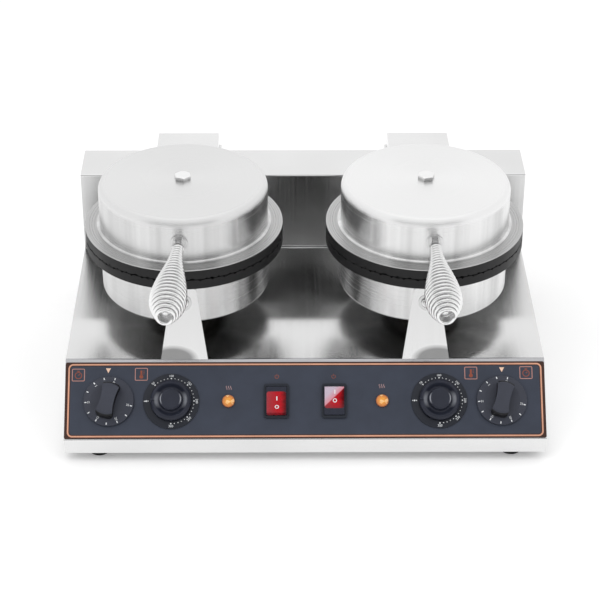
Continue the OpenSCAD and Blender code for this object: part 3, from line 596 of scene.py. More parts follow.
@dataclass(frozen=True)
class SpunSteel(Finish):
    """Stainless spun round an upright axis and ground along its walls.

    The walls lie under the level of the brow and are painted darker than the
    top, a painted shade, with broad stripes of painted reflection round them
    and fine streaks of grinding grain. The crown between them is rougher by a
    given amount. Levels are metres over the centre.
    """

    centre: Point
    colour: Colour = (0.90, 0.90, 0.90)
    brow: float = 0.0
    wall_shade: float = 1.0
    crown: float = 0.0
    roughness: float = 0.26
    anisotropy: float = 0.85
    lines: float = 1400.0
    streaks: float = 22.0
    reflection_bands: float = 4.0
    brow_h: float = 0.003
    crown_z: Pair = (0.0058, 0.0045)

    def draw(self, g: Graph) -> None:
        """Draws the nodes.

        Args:
            g: the material's nodes.
        """
        x, y, level = g.parts(g.place(self.centre))
        around = g.node("ShaderNodeCombineXYZ", {0: g.times(y, -1.0), 1: x}).outputs[0]
        track = g.node("ShaderNodeCombineXYZ", {0: g.root(x, y), 1: level}).outputs[0]
        lines = g.noise(track, self.lines, 3.0)
        unit = g.node("ShaderNodeVectorMath", {0: around}, operation="NORMALIZE").outputs[0]
        streak, reflection_bands = g.noise(unit, self.streaks, 3.0), g.noise(unit, self.reflection_bands)
        # Painted light on the sides: broad stripes of painted reflection, and a painted shade
        # that keeps them darker than the top, with fine grain streaks.
        shade = g.maths("ADD", g.between(reflection_bands, 0.0, 0.8), g.between(streak, 0.0, 0.2))
        side = g.blend(shade, dim(self.colour, self.wall_shade * 0.86),
                       dim(self.colour, self.wall_shade * 1.04))
        over = g.ramp(level, self.brow - self.brow_h, self.brow)
        crown = g.times(over, g.ramp(level, *(self.brow + z for z in self.crown_z)))
        g.put(Metallic=1.0, Anisotropic=self.anisotropy, Anisotropic_Rotation=0.25,
              Tangent=around, Base_Color=g.blend(over, side, self.colour),
              Roughness=g.maths("ADD", g.between(lines, self.roughness - 0.02,
                                                 self.roughness + 0.02),
                                g.times(crown, self.crown)))
        g.bump(lines, 0.00002, 0.1)


@dataclass(frozen=True)
class BracketSteel(Finish):
    """Folded strip with a dark reflection painted in an arc at its outer foot.

    The arc is half an ellipse about a point of the foot, in metres.
    """

    foot: Point
    colour: Colour = (0.97, 0.97, 0.97)
    painted_reflection: Colour = (0.62, 0.62, 0.62)
    reach: float = 0.026
    height: float = 0.0135
    edge: Pair = (1.05, 0.72)
    grain: Point = (900.0, 6.0, 6.0)

    def draw(self, g: Graph) -> None:
        """Draws the nodes.

        Args:
            g: the material's nodes.
        """
        x, _, z = g.parts(g.place(self.foot, (1 / self.reach, 1.0, 1 / self.height)))
        grain = g.noise(g.place(scale=self.grain), 1.0, 3.0)
        tone = g.blend(g.ramp(grain), dim(self.colour, 0.97), self.colour)
        # Inside the arc the colour is a painted dark reflection.
        g.put(Metallic=1.0, Roughness=g.between(grain, 0.2, 0.24),
              Base_Color=g.blend(g.ramp(g.root(x, z), *self.edge), tone, self.painted_reflection))


@dataclass(frozen=True)
class CastPlate(Finish):
    """Cast aluminium under a dark non-stick coat, slightly pebbled."""

    colour: Colour = (0.075, 0.075, 0.078)

    def draw(self, g: Graph) -> None:
        """Draws the nodes.

        Args:
            g: the material's nodes.
        """
        pebble, cloud = g.noise(g.place(), 900.0, 3.0), g.noise(g.place(), 30.0, 4.0)
        g.put(Specular_IOR_Level=0.28, Roughness=g.between(cloud, 0.38, 0.55),
              Base_Color=g.blend(g.ramp(cloud), self.colour, dim(self.colour, 1.3)))
        g.bump(pebble, 0.00008, 0.35)


@dataclass(frozen=True)
class Moulding(Finish):
    """Moulded plastic or rubber with a fine spark-eroded skin.

    With a foot given, walls lists the heights above it, in millimetres along
    the axis, at which a painted shade on a knob's rim fades out, a painted
    shade on the sides of its grip fades in, and that shade fades out under its top.
    """

    colour: Colour
    roughness: float = 0.4
    skin: float = 0.2
    specular: float = 0.3
    foot: Point | None = None
    axis: Point = (0.0, 0.0, 1.0)
    walls: tuple[Pair, ...] = ((3.2, 2.6), (5.8, 6.3), (17.8, 17.0))

    def draw(self, g: Graph) -> None:
        """Draws the nodes.

        Args:
            g: the material's nodes.
        """
        fine, cloud = g.noise(g.place(), 2600.0), g.noise(g.place(), 45.0, 3.0)
        colour = g.blend(g.ramp(cloud), dim(self.colour, 0.92), self.colour)
        if self.foot:
            height = g.along(g.place(self.foot, PER_MM), self.axis)
            rim, low, high = (g.ramp(height, *ends) for ends in self.walls)
            # Painted shade: the knob's rim and the sides of its grip are darkened to near black.
            colour = g.blend(g.maths("MAXIMUM", rim, g.times(low, high)), colour,
                             dim(self.colour, 0.3))
        g.put(Specular_IOR_Level=self.specular, Base_Color=colour)
        g.rough(self.roughness, cloud, fine, 0.04)
        g.bump(fine, 0.00003, self.skin)


@dataclass(frozen=True)
class GlossKnob(Finish):
    """Glossy black knob with painted highlights in crescents on both flanks of its skirt.

    Places are millimetres from the knob's axis, across and up the slope. Each
    crescent lies between two radii and fades away from the level of the axis.
    """

    centre: Point
    up: Point
    colour: Colour = (0.15, 0.16, 0.20)
    painted_highlight: Colour = (0.56, 0.57, 0.60)
    crescents: tuple[Point, ...] = ((12.4, 17.2, 9.0), (9.4, 11.2, 6.0))
    core: float = 0.3

    def draw(self, g: Graph) -> None:
        """Draws the nodes.

        Args:
            g: the material's nodes.
        """
        _, x, v = g.slope(self.centre, self.up)
        reach, rise = g.root(x, v), g.maths("ABSOLUTE", v)
        colour = g.blend(g.ramp(g.noise(g.place(), 60.0)), self.colour,
                         dim(self.colour, 1.12))
        for inner, outer, span in self.crescents:
            middle, half = (inner + outer) / 2, (outer - inner) / 2
            away = g.maths("ABSOLUTE", g.maths("SUBTRACT", reach, middle))
            band = g.times(g.ramp(away, half, half * self.core),
                           g.ramp(rise, span, span * self.core))
            # Each crescent is a painted highlight.
            colour = g.blend(band, colour, self.painted_highlight)
        g.put(Base_Color=colour, Roughness=0.24, Specular_IOR_Level=0.2)


@dataclass(frozen=True)
class RockerRed(Finish):
    """Clear red moulding with painted light: lit on one side and in painted shade toward the
    other, with a sheen or without.

    Places are millimetres from the rocker's axis: x across the switch and v
    up the slope. The red shows inside a round-cornered window; outside it the
    face is painted the dark blue-grey of the shaded recess, a painted shade.
    Toward the window's foot the red is painted darker, also a painted shade.
    The sheen covers what lies above a slanting edge.
    """

    centre: Point
    up: Point
    window: Pair
    sheen: bool = False
    half_w: float = 9.9
    corner: float = 2.4
    lit: Colour = (0.60, 0.21, 0.24)
    body: Colour = (0.68, 0.06, 0.11)
    shade: Colour = (0.33, 0.01, 0.04)
    well: Colour = (0.17, 0.18, 0.225)
    foot_shade: Colour = (0.42, 0.16, 0.19)
    glare: tuple[Colour, Colour] = ((0.82, 0.55, 0.60), (0.76, 0.70, 0.76))
    edge_at: float = 3.3
    edge_slope: float = 0.92
    foot_h: float = 5.0
    drift: float = 1.2

    def outside(self, g: Graph, x: Socket, v: Socket) -> Socket:
        """Distance outside the window, measured from its corner centres.

        Args:
            g: the node tree.
            x: place across.
            v: place up the slope.

        Returns:
            The distance, less than the corner radius inside the window.
        """
        low, high = self.window
        past = []
        for value, middle, half in ((x, 0.0, self.half_w),
                                    (v, (low + high) / 2, (high - low) / 2)):
            away = g.maths("ABSOLUTE", g.maths("SUBTRACT", value, middle))
            past.append(g.maths("MAXIMUM", g.maths("SUBTRACT", away, half - self.corner),
                                0.0))
        return g.root(*past)

    def draw(self, g: Graph) -> None:
        """Draws the nodes.

        Args:
            g: the material's nodes.
        """
        _, x, v = g.slope(self.centre, self.up)
        cloud = g.between(g.noise(g.place(), 180.0), -self.drift, self.drift)
        side = g.maths("ADD", x, cloud)
        # Painted light: lighter toward one side of the face, painted shade toward the other.
        colour = g.blend(g.ramp(side, -10.0, 1.0), self.lit, self.body)
        colour = g.blend(g.ramp(side, 4.5, 9.0), colour, self.shade)
        # Painted shade toward the foot of the window.
        foot = g.maths("SUBTRACT", self.window[0] + self.foot_h, v)
        colour = g.blend(g.between(foot, 0.0, 0.55, 0.0, self.foot_h), colour, self.foot_shade)
        if self.sheen:
            over = g.maths("SUBTRACT", g.maths("SUBTRACT", v, self.edge_at),
                           g.times(x, self.edge_slope))
            colour = g.blend(g.ramp(over, -0.6, 0.6), colour,
                             g.blend(g.ramp(over, 0.5, 9.0), *self.glare))
        # Outside the window the face is painted the shade of the recess.
        rim = g.ramp(self.outside(g, x, v), self.corner - 0.3, self.corner + 0.3)
        g.put(Base_Color=g.blend(rim, colour, self.well), Specular_IOR_Level=0.15,
              Roughness=g.between(cloud, 0.25, 0.3, -self.drift, self.drift))


@dataclass(frozen=True)
class AmberLens(Finish):
    """Moulded amber lens, facetted, with painted light: golden in the middle where the glow of
    the lit lamp is painted, darker toward a brown rim, and painted glints on some facets.

    Places are millimetres from the lens's axis, across and up the slope. The
    cells of the facets count so many to a millimetre.
    """

    centre: Point
    up: Point
    radius: float = 6.7
    cells: float = 0.38
    glow_gold: Colour = (0.90, 0.60, 0.20)
    amber: Colour = (0.80, 0.49, 0.22)
    painted_highlight: Colour = (0.97, 0.80, 0.56)
    brown: Colour = (0.46, 0.26, 0.20)

    def draw(self, g: Graph) -> None:
        """Draws the nodes.

        Args:
            g: the material's nodes.
        """
        local, x, v = g.slope(self.centre, self.up)
        reach = g.root(x, v)
        cells = g.node("ShaderNodeTexVoronoi", {"Vector": local, "Scale": self.cells})
        facet = g.parts(cells.outputs["Color"])[0]
        # Painted glow of the lit lamp in the golden middle.
        colour = g.blend(g.ramp(reach, self.radius * 0.35, self.radius * 0.7), self.glow_gold,
                         self.amber)
        # Painted glints on some facets.
        colour = g.blend(g.between(facet, 0.0, 0.8, 0.66, 0.8), colour, self.painted_highlight)
        colour = g.blend(g.ramp(reach, self.radius * 0.78, self.radius), colour, self.brown)
        g.put(Base_Color=colour, Roughness=g.between(facet, 0.2, 0.35, 0.0, 1.0))
        g.bump(cells.outputs["Distance"], 0.0004, 0.3)


# ------------------------------------------------------------ sub-assemblies


def dress(nodes: list[str], material: Material) -> None:
    """Gives CAD nodes their finish.

    Args:
        nodes: CAD node names.
        material: the finish for all their faces.
    """
    for name in nodes:
        mesh = frame["nodes"][name].data
        mesh.materials.clear()
        mesh.materials.append(material)
        log.info("%s finished in %s", name, material.name)


def joint(name: str) -> dict:
    """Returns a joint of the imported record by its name."""
    return next(j for j in frame["joints"] if j["name"] == name)


def both(*pieces: str) -> list[str]:
    """Returns the CAD names of pieces that stand on both sides."""
    return [side.node(piece) for side in Side for piece in pieces]


@dataclass
class Housing:
    """Folded stainless base, riser, rear cover, feet and small rear parts.

    Sizes are metres.
    """

    sheet: SheetSteel = SheetSteel("ground_sheet", anisotropy=1.0, crown=0.014,
                                   fold=-0.1054)
    folded: SheetSteel = SheetSteel("folded_sheet", (0.93, 0.93, 0.93), 0.22)
    plain: SheetSteel = SheetSteel("plain_sheet", (0.70, 0.70, 0.70), 0.3)
    # Dark steel for the pedestals, far darker than the sheet round them.
    dark: SheetSteel = SheetSteel("oxidised_steel", (0.22, 0.21, 0.20), 0.5)
    fastener: SheetSteel = SheetSteel("bright_fastener", (0.90, 0.90, 0.90), 0.2,
                                      (500.0, 500.0, 500.0))
    rubber: Moulding = Moulding("black_rubber", (0.07, 0.07, 0.07), 0.7, 0.5)
    nylon: Moulding = Moulding("black_nylon", (0.08, 0.08, 0.09), 0.42)
    cream: Moulding = Moulding("cream_moulding", (0.84, 0.82, 0.75), 0.5)
    dull_x: float = 0.012
    bead_end: float = 0.001
    bead_sides: int = 12

    def build(self) -> None:
        """Dresses every fixed sheet and small part and lays the seam beads, with a dark one as
        painted shadow in the seam.
        """
        bright, nylon = self.fastener.make(), self.nylon.make()
        for nodes, material in (
                (["base_housing", "riser_housing", "rear_cover"], self.sheet.make()),
                (both("hinge_arm"), self.folded.make()),
                (["base_plate"] + both("hinge_bracket", "timer_body"), self.plain.make()),
                (both("pedestal"), self.dark.make()),
                (["cover_screws", "bracket_bolts", "hinge_pins", "hinge_screws"]
                 + both("handle_rod", "timer_shaft", "thermostat_shaft"), bright),
                (["feet"], self.rubber.make()),
                (["cord_gland"], nylon),
                (["terminal_block"] + both("thermostat_body"), self.cream.make())):
            dress(nodes, material)
        for side in Side:
            # The painted reflection arc of each bracket lies toward its outer side.
            low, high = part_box(side.node("front_bracket"))
            foot = ((low[0] + high[0]) / 2 + side.value * self.dull_x, low[1], low[2])
            dress([side.node("front_bracket")],
                  BracketSteel(side.node("bracket_steel"), foot).make())
        # A dark bead stands in as painted shadow in the crevice of the seam.
        self.lay_bead("riser_sealant", nylon, 0.0003, 0.0, 0.0006)
        self.lay_bead("riser_seam_edge", bright, 0.0013, 0.0, 0.0003)
        self.lay_bead("deck_seam_edge", bright, 0.0001, -0.0011, 0.0003)

    def lay_bead(self, name: str, material: Material, rise: float,
             ahead: float, radius: float) -> None:
        """Lays one thin bead along the seam between the riser and the deck.

        Args:
            name: of the bead.
            material: its finish.
            rise: height of its middle over the deck, in metres.
            ahead: its middle's y from the riser's face, in metres.
            radius: in metres.
        """
        low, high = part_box("riser_housing")
        ends = np.array([[x, low[1] + ahead, low[2] + rise]
                         for x in (low[0] + self.bead_end, high[0] - self.bead_end)])
        points, faces = tube(ends, np.tile([0.0, 1.0, 0.0], (2, 1)),
                             np.tile([0.0, 0.0, 1.0], (2, 1)), np.full(2, radius),
                             self.bead_sides)
        bead = mesh_piece(name, points, faces, material)
        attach(bead, "base")


@dataclass
class Iron:
    """One baking iron: spun shells, cast plates, turned ring and heaters."""

    side: Side
    brow_drop: float = 0.008
    wall_shade: float = 0.96
    crown: float = 0.14
    turned: Colour = (0.74, 0.74, 0.74)
    bolt: Colour = (0.96, 0.96, 0.96)
    bolt_drop: float = 0.0002

    def build(self, plate: Material, sheath: Material) -> None:
        """Dresses the iron's nodes.

        Args:
            plate: coat of the baking plates.
            sheath: finish of the heating elements.
        """
        low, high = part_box(self.side.node("plate_ring"))
        centre = ((low[0] + high[0]) / 2, (low[1] + high[1]) / 2, high[2])
        name = self.side.name.lower()
        # Painted light: the right iron's steel is made lighter than the left's, for the brighter
        # light that falls on it.
        tone = 0.90 if self.side is Side.LEFT else 0.95
        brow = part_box(self.side.node("upper_shell"))[1][2] - self.brow_drop - high[2]
        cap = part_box(self.side.node("top_bolt"))[1]
        spun = SpunSteel(f"spun_steel_{name}", centre, (tone, tone, tone), brow, self.wall_shade,
                         self.crown)
        turned = SpunSteel(f"turned_aluminium_{name}", centre, self.turned, roughness=0.28,
                           anisotropy=0.6, lines=700.0, streaks=8.0)
        # Painted shade: the bolt's sides under its top are made darker, so that the top shows
        # bright.
        bolt = SpunSteel(f"bolt_steel_{name}", (centre[0], centre[1], cap[2]), self.bolt,
                         -self.bolt_drop, 0.80, roughness=0.3, anisotropy=0.0)
        for pieces, material in ((("top_bolt",), bolt.make()),
                                 (("upper_shell", "lower_shell"), spun.make()),
                                 (("plate_ring",), turned.make()),
                                 (("upper_plate", "lower_plate"), plate),
                                 (("upper_heater", "lower_heater"), sheath)):
            dress([self.side.node(piece) for piece in pieces], material)


@dataclass
class Grip:
    """Coiled wire grip on one handle, in millimetres along its own axis."""

    side: Side
    turn: float
    root_x: float
    tilt: float = 7.8
    drop: float = 26.6
    shell_r: float = 88.0
    collar: float = 8.0
    length: float = 112.0
    root_r: float = 6.2
    belly_r: float = 18.4
    end_r: float = 8.6
    belly: float = 0.76
    turns: int = 22
    wire: float = 3.5
    per_turn: int = 36
    sides: int = 12
    crowding: float = 0.24
    tip_steps: float = 3.0
    tip: float = 0.12

    def outer(self, t: Array) -> Array:
        """Outside radius along the grip.

        A raised cosine from the root to the belly, then a quarter cosine
        down to the end.

        Args:
            t: share of the grip's length, 0 to 1.

        Returns:
            The radius at each share, in millimetres.
        """
        rise = self.root_r + (self.belly_r - self.root_r) * (
            1.0 - np.cos(np.pi * t / self.belly)) / 2.0
        fall = self.end_r + (self.belly_r - self.end_r) * np.cos(
            np.pi / 2.0 * (t - self.belly) / (1.0 - self.belly))
        return np.where(t < self.belly, rise, fall)

    def placed(self) -> Matrix:
        """Works out where the grip starts.

        Returns:
            The place of its start, with +Z along the handle.
        """
        low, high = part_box(self.side.node("plate_ring"))
        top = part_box(self.side.node("upper_shell"))[1][2]
        ahead = math.sqrt(self.shell_r ** 2 - self.root_x ** 2)
        root = ((low[0] + high[0]) / 2 + self.side.value * self.root_x * MM,
                (low[1] + high[1]) / 2 - ahead * MM, top - self.drop * MM)
        return (Matrix.Translation(root)
                @ Matrix.Rotation(self.side.value * math.radians(self.turn), 4, "Z")
                @ Matrix.Rotation(math.radians(90 + self.tilt), 4, "X")
                @ Matrix.Translation((0, 0, self.collar * MM)))

    def build(self, wire: Material) -> None:
        """Carries the round wire along its belly-shaped helix.

        The share of the length after the share u of the turns is
        u - crowding / (2 pi) * sin(2 pi u), so that the pitch is closest at
        both ends. The wire thins to a blunt tip over its last few steps.

        Args:
            wire: the plated finish.
        """
        r = self.wire / 2
        u = np.linspace(0.0, 1.0, self.turns * self.per_turn + 1)
        t = u - self.crowding / (2.0 * np.pi) * np.sin(2.0 * np.pi * u)
        a = 2.0 * np.pi * self.turns * u
        mid = self.outer(t) - r
        out = np.column_stack([np.cos(a), np.sin(a), np.zeros_like(a)])
        path = out * mid[:, None]
        path[:, 2] = r + t * (self.length - self.wire)
        up = np.tile([0.0, 0.0, 1.0], (len(u), 1))
        end = np.minimum(u, 1.0 - u) * self.turns * self.per_turn
        thick = r * np.sqrt(np.clip(end / self.tip_steps, self.tip, 1.0))
        points, faces = tube(path, out, up, thick, self.sides)
        matrix = np.array(self.placed())
        points = (points * MM) @ matrix[:3, :3].T + matrix[:3, 3]
        grip = mesh_piece(self.side.node("coiled_grip"), points, faces, wire)
        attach(grip, self.side.node("upper_iron"))
        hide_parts(self.side.node("handle_grip"))
        log.info("%s grip: %d faces", self.side.name, len(faces))


@dataclass(frozen=True)
class Cone:
    """Face of a coned ring, in millimetres over its foot.

    It lies at the high level inside the inner radius and falls evenly to the
    low level at the outer one.
    """

    inner: float
    outer: float
    high: float
    low: float

    def __call__(self, x: Array, y: Array) -> Array:
        """Returns the height of the face at each place."""
        share = np.clip((np.hypot(x, y) - self.inner) / (self.outer - self.inner), 0.0, 1.0)
        return self.high - (self.high - self.low) * share


class Symbol(Enum):
    """The generic symbols on the panel."""

    CLOCK = "clock"
    THERMOMETER = "thermometer"
    POWER = "power"
    HEAT = "heat"

    def lines(self) -> list[tuple[Array, float | None, bool]]:
        """Lines of ink about the symbol's own zero, in millimetres.

        The power mark's ring runs from 125 to 415 degrees. Each heat wave is
        one full sine half a millimetre to either side.

        Returns:
            Each line's path, its width, or None where it is an outline to
            fill, and whether it is closed.
        """
        if self is Symbol.CLOCK:
            return [(circle(0.0, -0.6, 3.3), 0.8, True),
                    (np.array([[0.0, -0.6], [1.4, 0.9]]), 0.7, False),
                    (np.array([[-1.3, 3.9], [1.3, 3.9]]), 0.9, False)]
        if self is Symbol.THERMOMETER:
            return [(np.array([[0.0, 3.9], [0.0, -1.2]]), 1.9, False),
                    (circle(0.0, -2.6, 2.0, 16), None, True)] + [
                (np.array([[1.8, rise], [3.2, rise]]), 0.5, False)
                for rise in (0.4, 1.9, 3.4)]
        if self is Symbol.POWER:
            a = np.linspace(math.radians(125), math.radians(415), 22)
            return [(1.9 * np.column_stack([np.cos(a), np.sin(a)]), 0.55, False),
                    (np.array([[0.0, 0.4], [0.0, 2.6]]), 0.55, False)]
        v = np.linspace(0.0, 1.0, 12)
        return [(np.column_stack([shift + 0.5 * np.sin(2 * np.pi * v), 4 * v - 2]), 0.55,
                 False) for shift in (-2.2, 0.0, 2.2)]


@dataclass
class ControlPanel:
    """Printed panel on the console, with its border, symbols and scales.

    Sizes are millimetres. Places are across and up the slope from the middle
    of the controls' row, and marks on a control are about its own axis. A
    rocker has a window and the places of its bar and its ring, left rocker
    first. A dial's dots have one radius at the numbers and one between.
    """

    panel_t: float = 0.8
    control_s: float = 44.0
    top_s: float = 3.0
    margin: float = 0.1
    margin_corner: float = 1.9
    line_box: tuple[float, float, float, float] = (-241.1, 241.1, -36.0, 38.5)
    line_corner: float = 4.5
    line_w: float = 1.55
    edge_line_w: float = 0.9
    ink_gap: float = 0.02
    clocks: tuple[Pair, ...] = ((-231.5, 27.8), (225.8, 29.1))
    thermometers: tuple[Pair, ...] = ((-167.3, 28.4), (169.4, 28.8))
    powers: tuple[Pair, ...] = ((-29.0, 25.6), (29.0, 25.6))
    heats: tuple[Pair, ...] = ((-78.0, 14.0), (78.0, 15.4))
    pointers: tuple[Pair, ...] = ((-201.0, 32.5), (201.0, 32.5))
    pointer: tuple[Pair, ...] = ((-2.6, 2.2), (0.0, -2.8), (2.6, 2.2))
    square: float = 12.4
    square_corner: float = 1.0
    square_w: float = 0.75
    timer_cone: Cone = Cone(18.5, 25.7, 5.7, 3.9)
    timer_from: float = 74.5
    timer_step: float = 27.3
    timer_tick: Pair = (22.3, 24.5)
    timer_tick_w: float = 1.0
    timer_digits: Pair = (20.1, 3.1)
    dial_cone: Cone = Cone(22.2, 28.6, 3.42, 2.22)
    dial_from: float = 135.0
    dial_step: float = 9.0
    dial_dot: float = 23.4
    dial_dots: Pair = (0.7, 0.45)
    dial_digits: Pair = (26.0, 3.3)
    dial_zero: tuple[Pair, ...] = ((23.4, 0.6), (25.4, 0.9), (27.2, 0.5))
    rocker_tilt: float = 9.0
    rocker_face: float = 2.6
    rocker_slope: float = 2.0 / 14.8
    rocker_x: float = 0.5
    rocker_windows: tuple[Pair, Pair] = ((-15.5, 9.4), (-7.9, 15.5))
    rocker_signs: tuple[Pair, Pair] = ((1.8, -7.6), (9.1, 0.4))
    bar_half: float = 2.1
    bar_w: float = 1.1
    ring_r: float = 1.7
    ring_w: float = 0.85

    def __post_init__(self) -> None:
        """Reads the panel's plane and size from the frame."""
        hinge = joint("left_timer_turn")
        self.normal = Vector(hinge["axis"]).normalized()
        self.middle = Vector((0.0, hinge["pos_m"][1], hinge["pos_m"][2]))
        low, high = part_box("control_panel")
        self.width = (high[0] - low[0]) / MM
        span = math.hypot(high[1] - low[1], high[2] - low[2]) / MM
        self.length = span - self.panel_t
        self.centre_y = self.control_s - self.top_s - self.length / 2

    def surface(self) -> Print:
        """Returns an empty print on the panel's face, zero at the controls' row."""
        return Print(self.middle + self.normal * self.panel_t * MM, self.normal)

    def line(self, offset: float) -> Array:
        """Outline of the copper line, moved outward.

        Args:
            offset: how far, less than zero for inward.

        Returns:
            Points, shape (n, 2).
        """
        low_x, high_x, low_y, high_y = self.line_box
        path = round_box(high_x - low_x + 2 * offset, high_y - low_y + 2 * offset,
                         self.line_corner + offset)
        return path + [(low_x + high_x) / 2, (low_y + high_y) / 2]

    def outlines(self) -> list[tuple[str, Print, Ink]]:
        """Draws the copper line, the dark margin outside it and its inner edge.

        Returns:
            Each print with its name and its ink.
        """
        half = self.line_w / 2
        inside = -half - self.ink_gap
        edge = round_box(self.width - self.margin, self.length - self.margin,
                         self.margin_corner) + [0, self.centre_y]
        drawn = []
        for name, right, left, ink in (
                ("panel_border", self.line(half), self.line(-half), Ink.COPPER),
                ("panel_margin", edge, self.line(half + self.ink_gap), Ink.UMBER),
                ("panel_edge_line", self.line(inside), self.line(-half - self.edge_line_w),
                 Ink.UMBER)):
            sheet = self.surface()
            sheet.rails(right, left, True)
            drawn.append((name, sheet, ink))
        return drawn

    def marks(self) -> list[tuple[str, Print, Ink]]:
        """Draws the pointers, the boxed symbols and the marks over the lamps.

        Returns:
            Each print with its name and its ink.
        """
        tips, squares, symbols, waves = (self.surface() for _ in range(4))
        for place in self.pointers:
            tips.slab(np.array(self.pointer) + place)
        for place in self.clocks + self.thermometers:
            squares.band(round_box(self.square, self.square, self.square_corner) + place,
                         self.square_w, closed=True)
        for sheet, symbol, places in ((symbols, Symbol.CLOCK, self.clocks),
                                      (symbols, Symbol.THERMOMETER, self.thermometers),
                                      (symbols, Symbol.POWER, self.powers),
                                      (waves, Symbol.HEAT, self.heats)):
            for place in places:
                for path, width, closed in symbol.lines():
                    if width is None:
                        sheet.slab(path + place)
                    else:
                        sheet.band(path + place, width, closed)
        return [("pointer_marks", tips, Ink.CREAM), ("symbol_frames", squares, Ink.PINK),
                ("panel_symbols", symbols, Ink.RUST), ("lamp_marks", waves, Ink.ROSE)]

    def timer_scale(self, side: Side) -> Print:
        """Draws the numbers and ticks on a timer knob's coned skirt.

        Args:
            side: the timer's side.

        Returns:
            The print.
        """
        pos = joint(side.node("timer_turn"))["pos_m"]
        sheet = Print(Vector(pos), self.normal, self.timer_cone)
        reach, size = self.timer_digits
        for k in range(11):
            a = math.radians(self.timer_from + self.timer_step * k)
            ray = np.array([math.cos(a), math.sin(a)])
            sheet.band(np.outer(self.timer_tick, ray), self.timer_tick_w)
            if k % 2 == 0:
                sheet.numeral(str(5 * k // 2), *(reach * ray), size, a)
        return sheet

    def dial_scale(self, side: Side) -> Print:
        """Draws the numbers and dots on a thermostat's coned dial ring.

        Args:
            side: the thermostat's side.

        Returns:
            The print.
        """
        pos = joint(side.node("thermostat_turn"))["pos_m"]
        sheet = Print(Vector(pos), self.normal, self.dial_cone)
        reach, size = self.dial_digits
        for k in range(6):
            a = math.radians(self.dial_from - 5 * self.dial_step * k)
            sheet.numeral(str(50 * (k + 1)), reach * math.cos(a), reach * math.sin(a), size,
                          a - math.pi / 2 if k < 4 else a + math.pi / 2)
        for k in range(26):
            a = math.radians(self.dial_from - self.dial_step * k)
            sheet.disc(self.dial_dot * math.cos(a), self.dial_dot * math.sin(a),
                       self.dial_dots[k % 5 > 0], 10)
        for r, dot in self.dial_zero:
            sheet.disc(-r, 0.0, dot, 10)
        return sheet

    def vee(self, x: Array, y: Array) -> Array:
        """Returns the height of a rocker's face, which rises both ways from its axis."""
        return self.rocker_face + np.abs(y) * self.rocker_slope

    def rocker_marks(self, side: Side) -> Print:
        """Draws the bar and the ring on a rocker's tilted face.

        Args:
            side: the rocker's side.

        Returns:
            The print.
        """
        turn = joint(side.node("rocker_tilt"))
        lean = Matrix.Rotation(math.radians(side.value * self.rocker_tilt), 3, "X")
        sheet = Print(Vector(turn["pos_m"]), lean @ self.normal, self.vee)
        bar, ring = self.rocker_signs[side is Side.RIGHT]
        sheet.band(np.array([[self.rocker_x, bar - self.bar_half],
                             [self.rocker_x, bar + self.bar_half]]), self.bar_w)
        sheet.band(circle(self.rocker_x, ring, self.ring_r, 20), self.ring_w, closed=True)
        return sheet

    def dress_controls(self) -> None:
        """Dresses the panel and every control on it."""
        up = tuple(self.normal.cross(Vector((1.0, 0.0, 0.0))))
        for nodes, finish in (
                (["control_panel"],
                 Moulding("panel_print", (0.235, 0.255, 0.305), 0.42, 0.1, 0.2)),
                # The timer knobs carry painted shade on their rims and grip sides.
                (both("timer_knob"),
                 Moulding("knob_black", (0.245, 0.255, 0.295), 0.4, 0.25, 0.2,
                          tuple(self.middle), tuple(self.normal))),
                (both("thermostat_dial"),
                 Moulding("dial_black", (0.16, 0.17, 0.20), 0.36, 0.15, 0.2)),
                (both("switch_frame"),
                 Moulding("frame_black", (0.15, 0.165, 0.20), 0.4, 0.15, 0.2))):
            dress(nodes, finish.make())
        for side in Side:
            right = side is Side.RIGHT
            hub = tuple(joint(side.node("thermostat_turn"))["pos_m"])
            pivot = tuple(joint(side.node("rocker_tilt"))["pos_m"])
            low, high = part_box(side.node("heat_lamp"))
            lens = tuple((Vector(low) + Vector(high)) / 2)
            window = self.rocker_windows[right]
            for piece, finish in (
                    ("thermostat_knob", GlossKnob(side.node("knob_gloss"), hub, up)),
                    ("rocker",
                     RockerRed(side.node("rocker_red"), pivot, up, window, right)),
                    ("heat_lamp", AmberLens(side.node("amber_lens"), lens, up))):
                dress([side.node(piece)], finish.make())

    def build(self) -> None:
        """Dresses the panel and its controls and prints all marks."""
        self.dress_controls()
        inks = {ink: Moulding(f"ink_{ink.name.lower()}", ink.value, 0.45, 0.05).make()
                for ink in Ink}
        for name, sheet, ink in self.outlines() + self.marks():
            sheet.piece(name, inks[ink], "base")
        for side in Side:
            for name, sheet, body in (
                    ("timer_scale", self.timer_scale(side), side.node("timer_dial")),
                    ("dial_scale", self.dial_scale(side), "base"),
                    ("rocker_marks", self.rocker_marks(side), side.node("rocker"))):
                sheet.piece(side.node(name), inks[Ink.WHITE], body)
        log.info("panel printed: %.1f by %.1f mm", self.width, self.length)


# ----------------------------------------------------------------- studio


